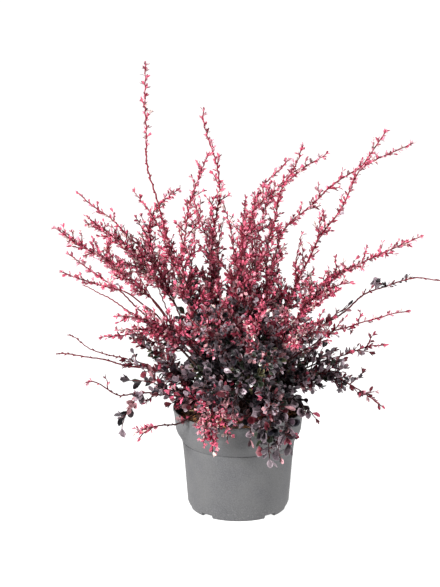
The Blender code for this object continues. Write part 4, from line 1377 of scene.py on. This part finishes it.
def spine_mesh(spines, longest):
    """Thin three-sided spines."""
    draw = random.Random("spines")
    meshes = []
    for root, direction in spines:
        tip = root + direction * longest * draw.uniform(*SPINE_SIZES)
        side, other = across(direction)
        ring = [root + swung(side, other, angle) * SPINE_RADIUS for angle in SPINE_CORNERS]
        meshes.append(Mesh([*ring, tip], [(0, 1, 3), (1, 2, 3), (2, 0, 3), (2, 1, 0)]))
    return joined(meshes)


def woody_foot(bark):
    """The crown of the roots: a flared stump raised from a disc, with a rough side."""
    low, high = FOOT_LOW.z, FOOT_HIGH.z
    profile = [(radius, low + above) for radius, above in FOOT_FLARE]
    profile += [(radius, high - below) for radius, below in FOOT_SHOULDER]
    item = raised("foot_bark", FOOT_SEGMENTS, (FOOT_RADIUS, low), profile)
    divide = item.modifiers.new("finer", "SUBSURF")
    divide.levels = 1
    divide.render_levels = 1
    apply_modifiers(item)
    press(item, "foot_relief", *FOOT_RELIEF, BARK_LEVEL, BARK_DEPTH)
    item.data.materials.append(bark)
    smooth(item, BARK_EDGE)
    return item


# Stage


def make_floor(sizes):
    deselect_all()
    bpy.ops.mesh.primitive_plane_add(size=FLOOR_SIZE, location=(0, 0, -FLOOR_DROP))
    floor = bpy.context.object
    floor.name = floor.data.name = "floor"
    material, shader = new_material("floor_paper", tuple(sizes.floor), 0.9)
    shader.inputs["Emission Color"].default_value = (1.0, 1.0, 1.0, 1.0)
    shader.inputs["Emission Strength"].default_value = sizes.glow
    floor.data.materials.append(material)


def make_light(sizes):
    scene = bpy.context.scene
    world = bpy.data.worlds.new("soft_room")
    world.use_nodes = True
    background = world.node_tree.nodes["Background"]
    background.inputs["Color"].default_value = (1.0, 1.0, 1.0, 1.0)
    background.inputs["Strength"].default_value = sizes.sky
    scene.world = world
    for name, (place, size) in LIGHTS.items():
        light = bpy.data.lights.new(name, "AREA")
        light.size = size
        light.energy = getattr(sizes, name)
        item = bpy.data.objects.new(name, light)
        item.location = place
        item.rotation_euler = (LIT_POINT - Vector(place)).to_track_quat("-Z", "Y").to_euler()
        scene.collection.objects.link(item)
    scene.view_settings.view_transform = "Standard"


def make_camera():
    scene = bpy.context.scene
    camera = bpy.data.cameras.new("camera")
    camera.sensor_width = CAMERA_SENSOR
    camera.lens = CAMERA_LENS
    camera.clip_end = CAMERA_END
    item = bpy.data.objects.new("camera", camera)
    slant = math.radians(CAMERA_SLANT)
    item.location = CAMERA_AIM + swung(Vector((0, -1, 0)), UP, slant) * CAMERA_DISTANCE
    item.rotation_euler = (math.pi / 2 - slant, 0.0, 0.0)
    scene.collection.objects.link(item)
    scene.camera = item


# Operators and panel


class BARBERRY_OT_stage(bpy.types.Operator):
    """Makes the floor, the soft light and the camera"""

    bl_idname = "barberry.stage"
    bl_label = "Stage"

    def execute(self, context):
        sizes = context.scene.barberry_stage
        make_floor(sizes)
        make_light(sizes)
        make_camera()
        return {"FINISHED"}


class BARBERRY_OT_pot(bpy.types.Operator):
    """Makes the moulded pot"""

    bl_idname = "barberry.pot"
    bl_label = "Pot"

    def execute(self, context):
        put(pot_shell(context.scene.barberry_pot), "pot", "pot")
        return {"FINISHED"}


class BARBERRY_OT_potting_mix(bpy.types.Operator):
    """Makes the potting mix and the bark chips on it"""

    bl_idname = "barberry.potting_mix"
    bl_label = "Potting mix"

    def execute(self, context):
        sizes = context.scene.barberry_mix
        put(mix_surface(sizes), "substrate", "substrate")
        for chips in scatter_chips(sizes):
            put(chips, "substrate")
        return {"FINISHED"}


class BARBERRY_OT_boughs(bpy.types.Operator):
    """Makes the woody foot and the boughs with their bark"""

    bl_idname = "barberry.boughs"
    bl_label = "Foot and boughs"

    def execute(self, context):
        crown = crown_of(context.scene)
        bark = bark_finish("old_bark", OLD_BARK)
        tubes = [tube(limb, BOUGH_SIDES) for limb in crown.boughs.values()]
        boughs = add_object("boughs", joined(tubes), bark)
        press(boughs, "bough_relief", *BOUGH_RELIEF, BARK_LEVEL, BARK_DEPTH)
        smooth(boughs, BARK_EDGE)
        put(boughs, "bark", *(f"bough_{name}" for name in SHOOTS))
        put(woody_foot(bark), "bark", "foot")
        return {"FINISHED"}


class BARBERRY_OT_twigs(bpy.types.Operator):
    """Makes the stems, their twigs and their spines"""

    bl_idname = "barberry.twigs"
    bl_label = "Twigs and spines"

    def execute(self, context):
        crown = crown_of(context.scene)
        wood = wood_finish()
        stems = [tube(mass.stem, STEM_SIDES) for mass in crown.masses]
        stems += [tube(limb, FORK_SIDES) for mass in crown.masses for limb, _ in mass.forks]
        twigs = [tube(limb, TWIG_SIDES) for mass in crown.masses for limb, _ in mass.twigs]
        twigs += [tube(bud, BUD_SIDES) for mass in crown.masses for bud in mass.buds]
        for name, tubes in (("stems", stems), ("twigs", twigs)):
            item = add_object(name, joined(tubes), wood)
            smooth(item, TWIG_EDGE)
            put(item, "bark")
        spines = spine_mesh(crown.spines, context.scene.barberry_growth.spine)
        put(add_object("spines", spines, bark_finish("spine_horn", SPINE_HORN)), "bark")
        return {"FINISHED"}


class BARBERRY_OT_leaves(bpy.types.Operator):
    """Makes the leaves, joined by the kind of their colour"""

    bl_idname = "barberry.leaves"
    bl_label = "Leaves"

    def execute(self, context):
        tones = context.scene.barberry_leaves
        for kind, leaves in crown_of(context.scene).leaves.items():
            if not leaves:
                raise RuntimeError(f"No leaf was dealt out as {kind}")
            finish = leaf_finish(kind, tuple(getattr(tones, kind)))
            item = add_object(f"leaves_{kind}", leaf_mesh(leaves), finish)
            smooth(item, LEAF_EDGE)
            put(item, KINDS[kind].slot, *STANDS_FOR.get(kind, ()))
        return {"FINISHED"}


class BARBERRY_PT_panel(bpy.types.Panel):
    """Lists the plant's pieces and sizes"""

    bl_idname = "BARBERRY_PT_panel"
    bl_label = "Barberry"
    bl_space_type = "VIEW_3D"
    bl_region_type = "UI"
    bl_category = "Barberry"

    def draw(self, context):
        for operator in OPERATORS:
            self.layout.operator(operator.bl_idname)
        for name, group in SETTINGS.items():
            box = self.layout.box()
            box.label(text=group.__name__)
            for field in group.__annotations__:
                box.prop(getattr(context.scene, name), field)


SETTINGS = {
    "barberry_pot": PotSizes,
    "barberry_mix": MixSizes,
    "barberry_growth": GrowthSizes,
    "barberry_leaves": LeafColours,
    "barberry_stage": StageSizes,
}
OPERATORS = (
    BARBERRY_OT_pot,
    BARBERRY_OT_potting_mix,
    BARBERRY_OT_boughs,
    BARBERRY_OT_twigs,
    BARBERRY_OT_leaves,
    BARBERRY_OT_stage,
)
CLASSES = (*SETTINGS.values(), *OPERATORS, BARBERRY_PT_panel)


def register():
    for group in CLASSES:
        bpy.utils.register_class(group)
    for name, group in SETTINGS.items():
        setattr(bpy.types.Scene, name, PointerProperty(type=group))


def unregister():
    for name in SETTINGS:
        delattr(bpy.types.Scene, name)
    for group in reversed(CLASSES):
        bpy.utils.unregister_class(group)


def main():
    register()
    bpy.ops.barberry.stage()
    bpy.ops.barberry.pot()
    bpy.ops.barberry.potting_mix()
    bpy.ops.barberry.boughs()
    bpy.ops.barberry.twigs()
    bpy.ops.barberry.leaves()


if __name__ == "__main__":
    main()
